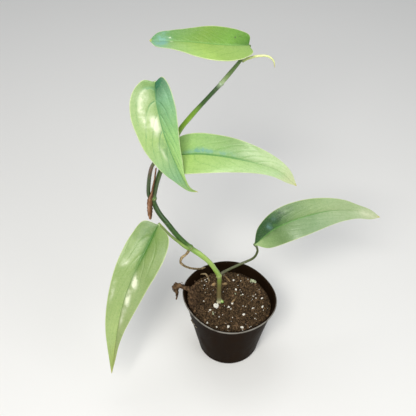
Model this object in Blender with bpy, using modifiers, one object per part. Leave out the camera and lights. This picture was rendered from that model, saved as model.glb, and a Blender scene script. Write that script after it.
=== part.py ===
# Cebu blue pothos vine in a small nursery pot
# All sizes below are in millimetres and are turned into metres by MM.
# The origin is the centre of the pot's foot, the vine leans to -X and leafs out to both sides, -Y is the front.

import math
import random

import bmesh
import bpy
import numpy as np
from mathutils import Vector

MM = 0.001
GAP = 0.3

# Pot
POT_HEIGHT = 65.0
RIM_RADIUS = 40.0
FOOT_RADIUS = 26.7
FOOT_ROUND = 4.0
WALL = 0.9
LIP_WIDTH = 1.7
LIP_DROP = 1.5
RIM_OVAL = 0.040
OVAL_TURN = math.radians(46.0)
RIM_SQUARE = 0.015
SQUARE_TURN = math.radians(-12.0)
POT_STEPS = 48
NOTCHES = 8
NOTCH_RADIUS = 1.9
NOTCH_AT = 23.4
NOTCH_TURN = math.radians(8.0)

# Soil
SOIL_TOP = 55.0
SOIL_FLOOR = WALL + GAP
SOIL_RINGS = 9
SOIL_LUMP = 0.9
SOIL_RISE = 3.5
SOIL_RISE_FROM = math.radians(172.0)
PERLITE = 22
PERLITE_SIZE = (0.6, 1.5)
BARK = 16
BARK_SIZE = (0.9, 2.0)

# Vine stem, from its buried end to the fifth node: x, y, z, radius
STEM_X = -8.8
STEM_Y = 0.6
STEM = [
    (STEM_X, STEM_Y, 30.0, 1.9), (STEM_X, STEM_Y, 44.0, 2.0), (STEM_X, STEM_Y, 57.0, 2.05),
    (-9.2, 0.6, 68.0, 1.95), (-9.0, 1.2, 79.0, 1.95), (-9.3, 2.0, 88.2, 2.0), (-12.4, 2.5, 95.5, 2.0),
    (-17.6, 3.5, 104.2, 2.0), (-24.8, 4.5, 112.0, 1.95), (-33.3, 6.0, 119.0, 2.0), (-43.2, 8.0, 130.6, 1.95),
    (-50.8, 11.0, 141.2, 1.9), (-57.4, 14.5, 149.6, 1.85), (-61.2, 18.0, 156.5, 1.85), (-61.9, 20.0, 161.3, 1.9),
    (-60.6, 22.0, 168.1, 1.8), (-58.1, 24.0, 177.8, 1.75), (-54.8, 26.0, 187.1, 1.7), (-51.0, 28.0, 195.8, 1.7),
    (-45.4, 31.0, 207.6, 1.75), (-39.7, 34.0, 219.6, 1.7), (-30.5, 37.0, 231.2, 1.65), (-20.8, 40.0, 242.0, 1.6),
    (-8.6, 44.0, 255.0, 1.65),
]
NODE_AT = {"one": 5, "two": 9, "three": 14, "four": 19, "five": 23}
NODE_SWELL = 0.45
NODE_SPREAD = 1.5
STUB = [(STEM_X + 0.8, STEM_Y - 0.4, 57.2, 1.5), (STEM_X + 2.6, STEM_Y - 1.2, 57.4, 1.5)]

# Leaf stalks: x, y, z, radius, first point inside the stem
PETIOLE_A = [(-33.3, 6.0, 119.0, 1.3), (-35.9, 3.2, 121.4, 1.5), (-42.8, 4.0, 128.0, 1.3),
             (-48.9, 2.5, 137.1, 1.2), (-54.2, 1.4, 146.4, 1.2), (-57.4, 1.6, 151.0, 1.3)]
PETIOLE_B = [(-45.4, 31.0, 207.6, 1.3), (-46.6, 27.6, 211.0, 1.5), (-49.7, 23.0, 226.1, 1.3),
             (-52.6, 19.4, 244.9, 1.2), (-54.6, 17.6, 262.0, 1.2), (-55.3, 17.0, 275.0, 1.3)]
PETIOLE_C = [(-61.9, 20.0, 161.3, 1.4), (-65.2, 19.4, 163.8, 1.5), (-65.6, 20.0, 171.0, 1.35),
             (-63.8, 20.5, 186.0, 1.2), (-60.4, 19.0, 198.0, 1.2), (-54.0, 17.0, 205.6, 1.2),
             (-46.2, 15.4, 209.4, 1.3)]
PETIOLE_D = [(-8.6, 44.0, 255.0, 1.75), (-2.5, 45.5, 262.6, 1.7), (4.2, 47.0, 271.4, 1.4),
             (8.2, 48.0, 277.3, 1.15), (10.6, 48.0, 282.3, 1.15), (11.0, 47.0, 284.8, 1.2)]
PETIOLE_E = [(-9.3, 2.0, 88.2, 1.3), (-6.0, 4.4, 89.6, 1.4), (-1.6, 7.4, 90.0, 1.15),
             (9.2, 13.0, 91.2, 1.1), (19.5, 14.8, 96.2, 1.05), (22.8, 13.4, 105.4, 1.05),
             (22.2, 11.4, 113.4, 1.1), (19.9, 8.8, 119.8, 1.25)]
SPEAR = [(6.4, 45.4, 272.6, 0.75), (9.2, 45.2, 275.0, 0.95), (14.0, 45.4, 276.8, 0.95),
         (19.4, 45.0, 278.0, 0.9), (24.6, 44.0, 278.0, 0.8), (28.4, 43.0, 275.0, 0.65), (29.5, 42.0, 270.2, 0.3)]
AERIAL_ROOT = [(-33.3, 6.0, 119.0, 1.0), (-35.2, 6.0, 113.6, 1.15), (-36.6, 6.0, 110.8, 0.95),
               (-39.8, 4.2, 109.2, 1.25), (-41.4, 2.6, 106.2, 0.95), (-40.4, 3.6, 101.6, 0.95),
               (-36.6, 9.0, 91.8, 0.85), (-31.0, 17.4, 80.2, 0.85), (-26.4, 25.0, 71.4, 0.8),
               (-23.0, 29.4, 67.3, 0.75), (-21.0, 31.0, 66.6, 0.6)]
SURFACE_ROOT = [(-25.2, 25.6, 63.4, 0.5), (-23.2, 26.4, 63.0, 0.7), (-20.4, 27.2, 61.6, 0.8),
                (-18.4, 25.2, 59.2, 0.75), (-17.4, 22.6, 56.8, 0.6), (-17.0, 21.2, 53.0, 0.5)]
RIM_DEBRIS = [(-29.5, 5.0, 57.0, 0.8), (-32.8, 5.6, 62.4, 1.5), (-36.4, 5.8, 66.9, 1.35),
              (-40.4, 7.0, 68.2, 1.5), (-44.4, 8.8, 67.8, 1.8), (-46.8, 9.2, 65.4, 2.0), (-46.6, 8.8, 61.6, 1.5),
              (-45.6, 8.2, 57.6, 1.0), (-46.4, 6.8, 51.4, 0.5)]

# Papery sheath: x, y, z, half width
SHEATH = [(-58.4, 19.8, 193.4, 0.5), (-60.2, 18.6, 181.8, 0.9), (-62.6, 17.4, 170.0, 1.4),
          (-63.9, 17.5, 164.0, 2.2), (-64.6, 15.6, 158.4, 2.4), (-65.0, 13.0, 152.4, 2.0), (-64.6, 11.0, 146.6, 0.9)]
SHEATH_THICK = 0.7

# Leaves. axis: the blade's centre line. face: the way the upper side looks. fold: lift of the halves either side
# of the rib, in degrees. rib, plus, minus: the rib and the two margins from the notch to the tip, as distance along
# the axis and distance across it.
BLADE = 0.6
RIB_EXTRA = 0.9
RIB_HALF = 0.09
ALONG = 24
ACROSS = 12
LEAVES = {
    "leaf_a": {
        "axis": [(-60.0, 1.0, 153.0), (-66.0, -8.0, 142.5), (-78.5, -26.0, 123.0), (-89.5, -44.0, 91.5),
                 (-98.5, -60.0, 35.5)],
        "face": (-0.10, -0.62, 0.78), "fold": (8.0, 8.0), "wave": (0.5, 3.1, 0.4),
        "rib": [(0.5, 3.0), (16.0, 2.0), (34.0, 2.0), (52.0, 1.0), (76.0, 0.5), (108.0, 0.0), (141.5, -0.5)],
        "plus": [(0.5, 3.0), (6.5, 15.0), (21.0, 19.0), (36.0, 19.0), (51.0, 16.5), (66.5, 13.5), (81.0, 10.0),
                 (96.0, 6.0), (111.0, 3.0), (126.0, 1.5), (141.5, -0.5)],
        "minus": [(0.5, 3.0), (2.5, -9.5), (18.0, -14.0), (33.5, -14.5), (49.0, -14.0), (64.5, -13.0),
                  (80.0, -11.5), (95.5, -9.5), (111.0, -7.0), (126.0, -4.0), (141.5, -0.5)],
    },
    "leaf_b": {
        "axis": [(-55.5, 15.0, 277.5), (-55.0, 8.5, 261.5), (-50.5, 2.0, 242.0), (-42.0, -3.0, 215.5),
                 (-33.5, -4.0, 195.5), (-25.5, -4.0, 190.0)],
        "face": (-0.10, -0.80, 0.60), "fold": (22.0, 16.0), "wave": (0.5, 2.6, 1.2),
        "rib": [(1.0, 0.5), (12.0, 0.5), (24.0, 1.0), (40.0, 0.5), (60.0, 0.5), (80.0, 0.5), (98.0, 0.0)],
        "plus": [(1.0, 0.5), (-1.0, 9.0), (8.5, 14.5), (20.0, 15.5), (31.5, 14.0), (42.5, 11.5), (53.5, 9.0),
                 (64.5, 6.5), (75.5, 3.5), (87.0, 1.5), (98.0, 0.0)],
        "minus": [(1.0, 0.5), (3.0, -9.5), (11.5, -16.5), (22.5, -18.5), (34.0, -18.0), (45.0, -17.0),
                  (56.0, -14.5), (66.5, -11.0), (77.0, -6.5), (87.5, -3.0), (98.0, 0.0)],
    },
    "leaf_c": {
        "axis": [(-44.5, 15.0, 210.5), (-21.0, 8.0, 217.5), (5.5, 0.0, 220.0), (30.0, -6.0, 215.5),
                 (47.0, -10.0, 201.5)],
        "face": (-0.10, -0.60, 0.80), "fold": (8.0, 12.0), "wave": (0.5, 2.8, 2.1),
        "rib": [(-0.5, 0.0), (18.0, 0.0), (36.0, -0.5), (54.0, -1.0), (71.0, -1.0), (86.0, 0.0), (101.0, 0.0)],
        "plus": [(-0.5, 0.0), (-1.5, 10.0), (9.0, 14.5), (20.5, 15.5), (32.5, 15.0), (44.0, 14.0), (56.0, 12.0),
                 (67.5, 9.5), (78.5, 6.5), (90.0, 3.5), (101.0, 0.0)],
        "minus": [(-0.5, 0.0), (-1.5, -10.0), (8.5, -15.5), (20.0, -16.0), (32.0, -15.0), (43.5, -13.0),
                  (55.0, -11.0), (67.0, -8.5), (78.5, -6.0), (90.0, -3.0), (101.0, 0.0)],
    },
    "leaf_d": {
        "axis": [(10.5, 46.0, 286.0), (-8.5, 42.0, 289.0), (-34.5, 37.5, 294.5), (-59.5, 38.0, 295.0)],
        "face": (0.05, -0.35, 0.93), "fold": (12.0, 8.0), "wave": (0.5, 2.4, 0.8),
        "rib": [(0.0, 0.0), (12.0, 0.0), (24.0, 0.0), (36.0, 0.0), (48.0, 0.0), (60.0, 0.0), (71.5, 0.0)],
        "plus": [(0.0, 0.0), (-1.5, 7.5), (5.5, 13.0), (14.0, 16.0), (22.5, 17.5), (31.5, 16.5), (40.0, 14.0),
                 (48.0, 10.5), (56.0, 7.5), (64.5, 5.0), (71.5, 0.0)],
        "minus": [(0.0, 0.0), (-1.5, -8.0), (5.5, -12.5), (14.0, -14.5), (22.5, -14.5), (31.0, -13.5),
                  (39.5, -12.0), (48.0, -10.0), (56.5, -8.0), (64.5, -4.5), (71.5, 0.0)],
    },
    "leaf_e": {
        "axis": [(19.0, 10.0, 123.0), (42.0, 12.0, 143.5), (73.0, 18.0, 149.0), (101.5, 25.0, 143.0),
                 (125.5, 30.0, 130.0)],
        "face": (-0.05, -0.66, 0.75), "fold": (8.0, 8.0), "wave": (0.5, 2.7, 1.6),
        "rib": [(-1.5, -3.0), (16.0, -2.0), (33.0, -2.5), (53.0, -1.5), (71.0, -0.5), (97.0, 0.0), (120.5, 0.0)],
        "plus": [(-1.5, -3.0), (8.0, 5.5), (20.0, 9.5), (32.5, 11.5), (45.5, 12.0), (58.0, 11.5), (70.5, 10.0),
                 (83.0, 8.0), (95.5, 5.0), (108.0, 2.5), (120.5, 0.0)],
        "minus": [(-1.5, -3.0), (7.5, -12.0), (19.5, -16.0), (32.5, -17.5), (45.5, -17.0), (58.0, -15.0),
                  (71.0, -12.0), (83.5, -9.0), (96.5, -6.0), (109.0, -3.5), (120.5, 0.0)],
    },
}

# Colours
COLOURS = {
    "pot_plastic": (0.020, 0.017, 0.014), "peat": (0.055, 0.033, 0.018), "vine_green": (0.030, 0.075, 0.014),
    "stalk_green": (0.085, 0.130, 0.030), "leaf_green": (0.33, 0.52, 0.22), "young_leaf": (0.40, 0.48, 0.16),
    "dry_brown": (0.115, 0.050, 0.020), "root_tan": (0.330, 0.240, 0.120), "root_brown": (0.070, 0.034, 0.014),
}


def clear_scene():
    for thing in list(bpy.data.objects):
        bpy.data.objects.remove(thing, do_unlink=True)


def new_collection(name):
    group = bpy.data.collections.new(name)
    bpy.context.scene.collection.children.link(group)
    return group


def material(name):
    found = bpy.data.materials.get(name)
    if found:
        return found
    made = bpy.data.materials.new(name)
    made.use_nodes = True
    shader = made.node_tree.nodes["Principled BSDF"]
    shader.inputs["Base Color"].default_value = (*COLOURS[name], 1.0)
    shader.inputs["Roughness"].default_value = 0.5
    return made


def spline(points, per_span):
    # a smooth path through the points, the same number of steps in every span
    grid = np.array(points, float)
    padded = np.vstack([2 * grid[0] - grid[1], grid, 2 * grid[-1] - grid[-2]])
    out = []
    for i in range(len(grid) - 1):
        a, b, c, d = padded[i:i + 4]
        for k in range(per_span):
            t = k / per_span
            out.append(0.5 * (2 * b + (c - a) * t + (2 * a - 5 * b + 4 * c - d) * t * t
                              + (3 * b - a - 3 * c + d) * t ** 3))
    out.append(grid[-1])
    return np.array(out)


def object_from(bm, name, group, slot):
    bmesh.ops.recalc_face_normals(bm, faces=bm.faces[:])
    mesh = bpy.data.meshes.new(name)
    bm.to_mesh(mesh)
    bm.free()
    made = bpy.data.objects.new(name, mesh)
    made.data.materials.append(material(slot))
    group.objects.link(made)
    return made


def as_mesh(thing, name, group, slot):
    # the modifiers and curves worked out into one plain mesh object
    bpy.context.view_layer.update()
    graph = bpy.context.evaluated_depsgraph_get()
    mesh = bpy.data.meshes.new_from_object(thing.evaluated_get(graph))
    bm = bmesh.new()
    bm.from_mesh(mesh)
    bm.transform(thing.matrix_world)
    bmesh.ops.remove_doubles(bm, verts=bm.verts[:], dist=0.00001)
    bpy.data.objects.remove(thing, do_unlink=True)
    return object_from(bm, name, group, slot)


def wire(name, path, group, slot, grow=0.0, sides=3):
    # a round stem along a path of x, y, z, radius with flat closed ends
    rows = np.array(path, float)
    if grow:
        first = rows[0, :3] - rows[1, :3]
        last = rows[-1, :3] - rows[-2, :3]
        rows[0, :3] += first / np.linalg.norm(first) * grow
        rows[-1, :3] += last / np.linalg.norm(last) * grow
    curve = bpy.data.curves.new(name, "CURVE")
    curve.dimensions = "3D"
    curve.bevel_depth = MM
    curve.bevel_resolution = sides
    curve.use_fill_caps = True
    strand = curve.splines.new("POLY")
    strand.points.add(len(rows) - 1)
    for point, row in zip(strand.points, rows):
        point.co = (*(row[:3] * MM), 1.0)
        point.radius = row[3] + grow
    thing = bpy.data.objects.new(name, curve)
    group.objects.link(thing)
    return as_mesh(thing, name, group, slot)


def boolean(target, tool, operation):
    # the tool is used up
    step = target.modifiers.new("cut", "BOOLEAN")
    step.object = tool
    step.operation = operation
    step.solver = "EXACT"
    bpy.context.view_layer.update()
    graph = bpy.context.evaluated_depsgraph_get()
    mesh = bpy.data.meshes.new_from_object(target.evaluated_get(graph))
    target.modifiers.remove(step)
    mesh.materials.clear()
    mesh.materials.append(target.data.materials[0])
    for face in mesh.polygons:
        face.material_index = 0
    target.data = mesh
    bpy.data.objects.remove(tool, do_unlink=True)


def keep_main(thing):
    # takes away any crumb that a cut leaves beside the main body
    bm = bmesh.new()
    bm.from_mesh(thing.data)
    left = set(bm.verts)
    islands = []
    while left:
        todo = [left.pop()]
        island = list(todo)
        while todo:
            for edge in todo.pop().link_edges:
                for vertex in edge.verts:
                    if vertex in left:
                        left.remove(vertex)
                        todo.append(vertex)
                        island.append(vertex)
        islands.append(island)
    islands.sort(key=len)
    bmesh.ops.delete(bm, geom=[v for island in islands[:-1] for v in island], context="VERTS")
    bm.to_mesh(thing.data)
    bm.free()


def rim_factor(angle, height):
    # how far the pot's round is drawn out of true at this angle and height
    share = (height / POT_HEIGHT) ** 2
    oval = -RIM_OVAL * math.cos(2 * (angle - OVAL_TURN))
    square = RIM_SQUARE * math.cos(4 * (angle - SQUARE_TURN))
    return 1 + share * (oval + square)


def out_of_round(thing):
    for vertex in thing.data.vertices:
        x, y, z = vertex.co
        factor = rim_factor(math.atan2(y, x), max(z / MM, 0.0))
        vertex.co = (x * factor, y * factor, z)


def turned(name, profile, group, slot):
    # a profile of radius, height turned about the upright axis
    bm = bmesh.new()
    verts = [bm.verts.new((r * MM, 0.0, z * MM)) for r, z in profile]
    for a, b in zip(verts, verts[1:]):
        bm.edges.new((a, b))
    mesh = bpy.data.meshes.new(name)
    bm.to_mesh(mesh)
    bm.free()
    thing = bpy.data.objects.new(name, mesh)
    group.objects.link(thing)
    screw = thing.modifiers.new("turn", "SCREW")
    screw.axis = "Z"
    screw.steps = POT_STEPS
    screw.render_steps = POT_STEPS
    screw.use_merge_vertices = True
    screw.merge_threshold = 0.0001
    return as_mesh(thing, name, group, slot)


def foot_arc(radius, inset, steps=4):
    # the rounded foot from the flat of the base up to the wall
    turn = FOOT_ROUND - inset
    centre_r = radius - FOOT_ROUND
    centre_z = FOOT_ROUND
    return [(centre_r + turn * math.sin(math.pi / 2 * k / steps), centre_z - turn * math.cos(math.pi / 2 * k / steps))
            for k in range(steps + 1)]


def build_pot(group, cutters):
    inner_rim = RIM_RADIUS - LIP_WIDTH
    outer = foot_arc(FOOT_RADIUS, 0.0)
    inner = foot_arc(FOOT_RADIUS, WALL)
    profile = [(0.0, 0.0), (FOOT_RADIUS - FOOT_ROUND - 6.0, 0.0)] + outer
    for share in (0.25, 0.5, 0.75):
        low = outer[-1]
        profile.append((low[0] + (inner_rim - low[0]) * share, low[1] + (POT_HEIGHT - LIP_DROP - low[1]) * share))
    profile += [(inner_rim, POT_HEIGHT - LIP_DROP - 0.6), (RIM_RADIUS - 0.3, POT_HEIGHT - LIP_DROP),
                (RIM_RADIUS, POT_HEIGHT - LIP_DROP / 2), (RIM_RADIUS - 0.3, POT_HEIGHT - 0.2),
                (RIM_RADIUS - 0.9, POT_HEIGHT), (inner_rim + 0.1, POT_HEIGHT - 0.1),
                (inner_rim - WALL * 0.6, POT_HEIGHT - 0.8)]
    for share in (0.75, 0.5, 0.25):
        low = inner[-1]
        high = (inner_rim - WALL, POT_HEIGHT - LIP_DROP)
        profile.append((low[0] + (high[0] - low[0]) * share, low[1] + (high[1] - low[1]) * share))
    profile += inner[::-1] + [(FOOT_RADIUS - FOOT_ROUND - 6.0, WALL), (0.0, WALL)]
    pot = turned("pot", profile[::-1], group, "pot_plastic")
    out_of_round(pot)
    for i in range(NOTCHES):
        angle = NOTCH_TURN + 2 * math.pi * (i + 0.5) / NOTCHES
        bm = bmesh.new()
        bmesh.ops.create_cone(bm, cap_ends=True, segments=16, radius1=NOTCH_RADIUS * MM,
                              radius2=NOTCH_RADIUS * MM, depth=8 * MM)
        bmesh.ops.translate(bm, verts=bm.verts[:],
                            vec=(NOTCH_AT * MM * math.cos(angle), NOTCH_AT * MM * math.sin(angle), 0.0))
        boolean(pot, object_from(bm, "notch", cutters, "pot_plastic"), "DIFFERENCE")
    return pot


def wall_inside(height):
    # the radius of the pot's inner wall at this height, before the out of round
    share = (height - FOOT_ROUND) / (POT_HEIGHT - LIP_DROP - FOOT_ROUND)
    low = FOOT_RADIUS - WALL
    high = RIM_RADIUS - LIP_WIDTH - WALL
    return low + (high - low) * share


def soil_height(x, y):
    # the lumpy top of the peat at this place
    away = math.hypot(x, y) / 35.0
    rise = max(0.0, math.cos(math.atan2(y, x) - SOIL_RISE_FROM)) ** 2 * max(0.0, away - 0.35) * SOIL_RISE * 1.6
    lumps = (math.sin(x * 0.52 + 1.3 * math.sin(y * 0.31)) * math.cos(y * 0.47 + 0.8)
             + 0.6 * math.sin(x * 0.93 - y * 0.71 + 2.0) + 0.4 * math.cos(x * 1.4 + y * 1.1))
    return SOIL_TOP + rise + SOIL_LUMP * 0.6 * lumps


def grain(place, size, seed, subdivisions=1):
    # one rough bit: a small ball pushed out of true
    rough = random.Random(seed)
    bm = bmesh.new()
    bmesh.ops.create_icosphere(bm, subdivisions=subdivisions, radius=size * MM)
    stretch = (rough.uniform(0.8, 1.35), rough.uniform(0.7, 1.1), rough.uniform(0.7, 1.0))
    bmesh.ops.scale(bm, verts=bm.verts[:], vec=stretch)
    for vertex in bm.verts:
        vertex.co *= rough.uniform(0.86, 1.14)
    turn = rough.uniform(0, math.pi)
    for vertex in bm.verts:
        x, y, z = vertex.co
        vertex.co = (x * math.cos(turn) - y * math.sin(turn), x * math.sin(turn) + y * math.cos(turn), z)
    bmesh.ops.translate(bm, verts=bm.verts[:], vec=Vector(place) * MM)
    return bm


def build_soil(group, cutters):
    top_r = wall_inside(SOIL_TOP) - GAP
    foot = [(r - GAP, z) for r, z in foot_arc(FOOT_RADIUS - GAP, WALL + GAP)]
    profile = [(0.0, SOIL_FLOOR)] + [(foot[0][0] - 6.0, SOIL_FLOOR)] + foot
    profile += [(wall_inside(z) - GAP, z) for z in (20.0, 38.0)]
    profile += [(top_r * (1 - i / SOIL_RINGS), SOIL_TOP) for i in range(SOIL_RINGS + 1)]
    soil = turned("soil", profile[::-1], group, "peat")
    for vertex in soil.data.vertices:
        x, y, z = (c / MM for c in vertex.co)
        if z > SOIL_TOP - 0.01:
            high = soil_height(x, y)
            away = math.hypot(x, y)
            grow = (wall_inside(high) - GAP) / top_r if away > top_r - 0.01 else 1.0
            vertex.co = (x * grow * MM, y * grow * MM, high * MM)
    out_of_round(soil)
    rng = random.Random(41)
    bits = []
    for count, sizes in ((PERLITE, PERLITE_SIZE), (BARK, BARK_SIZE)):
        tries = 0
        wanted = len(bits) + count
        while len(bits) < wanted and tries < 4000:
            tries += 1
            size = rng.uniform(*sizes)
            away = 31.0 * math.sqrt(rng.random())
            angle = rng.uniform(0, 2 * math.pi)
            x = away * math.cos(angle)
            y = away * math.sin(angle)
            near_stem = math.hypot(x - STEM_X, y - STEM_Y) < 5.5 + size
            near_root = math.hypot(x + 17.0, y - 25.0) < 8.0 or math.hypot(x + 30.0, y - 5.0) < 5.5
            crowded = any(math.hypot(x - a, y - b) < size + c + 0.7 for a, b, c in bits)
            if not (near_stem or near_root or crowded):
                bits.append((x, y, size))
    bits.append((-11.6, -7.0, 2.3))
    merged = bmesh.new()
    for index, (x, y, size) in enumerate(bits):
        bit = grain((x, y, soil_height(x, y) + size * 0.15), size, 900 + index)
        mesh = bpy.data.meshes.new("bit")
        bit.to_mesh(mesh)
        bit.free()
        merged.from_mesh(mesh)
    boolean(soil, object_from(merged, "bits", cutters, "peat"), "UNION")
    return soil


def swollen(path, where):
    # the path made finer with a soft bump in radius at each named node
    per_span = 3
    fine = spline(path, per_span)
    steps = np.r_[0, np.cumsum(np.linalg.norm(np.diff(fine[:, :3], axis=0), axis=1))]
    for index in where:
        centre = steps[index * per_span]
        fine[:, 3] += NODE_SWELL * np.exp(-((steps - centre) / NODE_SPREAD) ** 2)
    return fine


def blade_point(leaf, axis, steps, along, across):
    # the place on the curved blade for a distance along the axis and across it
    at = min(max(along, 0.0), steps[-1])
    place = np.array([np.interp(at, steps, axis[:, i]) for i in range(3)])
    reach = 2.0
    ahead = np.array([np.interp(min(at + reach, steps[-1]), steps, axis[:, i]) for i in range(3)])
    behind = np.array([np.interp(max(at - reach, 0.0), steps, axis[:, i]) for i in range(3)])
    forward = (ahead - behind) / np.linalg.norm(ahead - behind)
    place = place + forward * (along - at)
    face = np.array(leaf["face"])
    face = face - face.dot(forward) * forward
    face /= np.linalg.norm(face)
    side = np.cross(face, forward)
    return place, forward, side, face


def build_leaf(name, group, slot="leaf_green", grow=0.0):
    # grow thickens the blade to both sides, for the seats cut into the stalks
    leaf = LEAVES[name]
    axis = spline(leaf["axis"], 12)
    steps = np.r_[0, np.cumsum(np.linalg.norm(np.diff(axis, axis=0), axis=1))]
    fine = 12
    curves = {key: spline(leaf[key], fine) for key in ("rib", "plus", "minus")}
    height, count, phase = leaf["wave"]
    half = ACROSS // 2
    bm = bmesh.new()
    bmesh.ops.create_grid(bm, x_segments=ALONG, y_segments=ACROSS, size=1.0)
    layer = bm.verts.layers.deform.verify()
    for vertex in bm.verts:
        u = (vertex.co.x + 1) / 2
        v = vertex.co.y
        u = u - 0.06 * math.sin(2 * math.pi * u)
        key = "plus" if v > 0 else "minus"
        spots = [np.array([np.interp(u * (len(c) - 1), range(len(c)), c[:, i]) for i in range(2)])
                 for c in (curves["rib"], curves[key])]
        along, across = spots[0] + (spots[1] - spots[0]) * abs(v)
        offset = across - spots[0][1]
        lift = math.radians(leaf["fold"][0 if v > 0 else 1])
        place, _, side, face = blade_point(leaf, axis, steps, along, across)
        place = place + side * (spots[0][1] + offset * math.cos(lift)) + face * abs(offset) * math.sin(lift)
        ripple = height * math.sin(2 * math.pi * count * u + phase + (1.1 if v > 0 else 0.0))
        place = place + face * ripple * abs(v) ** 2 * math.sin(math.pi * u) * 1.2
        vertex.co = Vector(place) * MM
        near_rib = math.exp(-(v * half / 1.1) ** 2)
        vertex[layer][0] = BLADE / (BLADE + RIB_EXTRA) + RIB_EXTRA / (BLADE + RIB_EXTRA) * near_rib * (1 - u) ** 0.8
    bmesh.ops.remove_doubles(bm, verts=bm.verts[:], dist=0.00002)
    bmesh.ops.triangulate(bm, faces=bm.faces[:])
    bmesh.ops.recalc_face_normals(bm, faces=bm.faces[:])
    middle = min(bm.faces, key=lambda f: (f.calc_center_median() - Vector(axis[len(axis) // 2]) * MM).length)
    if middle.normal.dot(Vector(leaf["face"])) < 0:
        bmesh.ops.reverse_faces(bm, faces=bm.faces[:])
    mesh = bpy.data.meshes.new(name)
    bm.to_mesh(mesh)
    bm.free()
    thing = bpy.data.objects.new(name, mesh)
    thing.vertex_groups.new(name="rib")
    group.objects.link(thing)
    thick = thing.modifiers.new("blade", "SOLIDIFY")
    deep = BLADE + RIB_EXTRA
    thick.thickness = (deep + 2 * grow) * MM
    thick.offset = -deep / (deep + 2 * grow)
    thick.vertex_group = "rib"
    thick.use_even_offset = False
    return as_mesh(thing, name, group, slot)


def build_sheath(group):
    # a narrow papery strip, curled a little across its width
    path = spline(SHEATH, 4)
    bm = bmesh.new()
    rows = len(path) - 1
    bmesh.ops.create_grid(bm, x_segments=rows, y_segments=4, size=1.0)
    for vertex in bm.verts:
        at = (vertex.co.x + 1) / 2 * rows
        x, y, z, half = (np.interp(at, range(len(path)), path[:, i]) for i in range(4))
        v = vertex.co.y
        vertex.co = Vector((x + v * half * 0.95, y + v * half * 0.3 + half * 0.35 * v * v, z + v * half * 0.1)) * MM
    bmesh.ops.triangulate(bm, faces=bm.faces[:])
    mesh = bpy.data.meshes.new("dry_sheath")
    bm.to_mesh(mesh)
    bm.free()
    thing = bpy.data.objects.new("dry_sheath", mesh)
    group.objects.link(thing)
    thick = thing.modifiers.new("blade", "SOLIDIFY")
    thick.thickness = SHEATH_THICK * MM
    thick.offset = 0.0
    return as_mesh(thing, "dry_sheath", group, "dry_brown")


def build():
    clear_scene()
    group = new_collection("cebu_blue_pothos")
    cutters = new_collection("cutters")

    build_pot(group, cutters)
    soil = build_soil(group, cutters)

    stem_path = swollen(STEM, NODE_AT.values())
    stem = wire("vine_stem", stem_path, group, "vine_green", sides=3)
    boolean(stem, wire("stub", spline(STUB, 2), cutters, "vine_green", sides=2), "UNION")
    hole = [(STEM_X, STEM_Y, 30.0, 2.05), (STEM_X, STEM_Y, 62.0, 2.05)]
    boolean(soil, wire("hole", hole, cutters, "peat", grow=GAP, sides=4), "DIFFERENCE")
    boolean(soil, wire("stub_hole", spline(STUB, 2), cutters, "peat", grow=GAP, sides=2), "DIFFERENCE")

    stalks = {"petiole_a": PETIOLE_A, "petiole_b": PETIOLE_B, "petiole_c": PETIOLE_C, "petiole_d": PETIOLE_D,
              "petiole_e": PETIOLE_E, "aerial_root": AERIAL_ROOT}
    for name, path in stalks.items():
        slot = "root_tan" if name == "aerial_root" else "stalk_green"
        thing = wire(name, spline(path, 4), group, slot, sides=2)
        boolean(thing, wire("seat", stem_path, cutters, slot, grow=GAP, sides=3), "DIFFERENCE")

    wire("leaf_spear", spline(SPEAR, 4), group, "young_leaf", sides=2)
    boolean(bpy.data.objects["leaf_spear"],
            wire("seat", spline(PETIOLE_D, 4), cutters, "young_leaf", grow=GAP, sides=2), "DIFFERENCE")

    sheath = build_sheath(group)
    boolean(sheath, wire("seat", stem_path, cutters, "dry_brown", grow=GAP, sides=3), "DIFFERENCE")
    boolean(sheath, wire("seat", spline(PETIOLE_C, 4), cutters, "dry_brown", grow=GAP, sides=2), "DIFFERENCE")

    for name, path, slot in (("surface_root", SURFACE_ROOT, "root_tan"), ("rim_debris", RIM_DEBRIS, "root_brown")):
        wire(name, spline(path, 4), group, slot, sides=2)
        boolean(soil, wire("seat", spline(path, 4), cutters, "peat", grow=GAP, sides=2), "DIFFERENCE")

    for name in LEAVES:
        stalk = bpy.data.objects[name.replace("leaf", "petiole")]
        boolean(stalk, build_leaf(name, cutters, grow=GAP), "DIFFERENCE")
        keep_main(stalk)
        build_leaf(name, group)

    for thing in list(cutters.objects):
        bpy.data.objects.remove(thing, do_unlink=True)
    cutters.hide_render = True
    for thing in group.objects:
        bm = bmesh.new()
        bm.from_mesh(thing.data)
        bmesh.ops.remove_doubles(bm, verts=bm.verts[:], dist=0.000005)
        bmesh.ops.triangulate(bm, faces=[f for f in bm.faces if len(f.verts) > 4])
        bmesh.ops.recalc_face_normals(bm, faces=bm.faces[:])
        bm.to_mesh(thing.data)
        bm.free()


build()
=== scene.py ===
import random
from math import atan2, copysign, cos, exp, hypot, pi, radians, sin, sqrt

import bmesh
import bpy
import numpy as np
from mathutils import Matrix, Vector, noise


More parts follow.
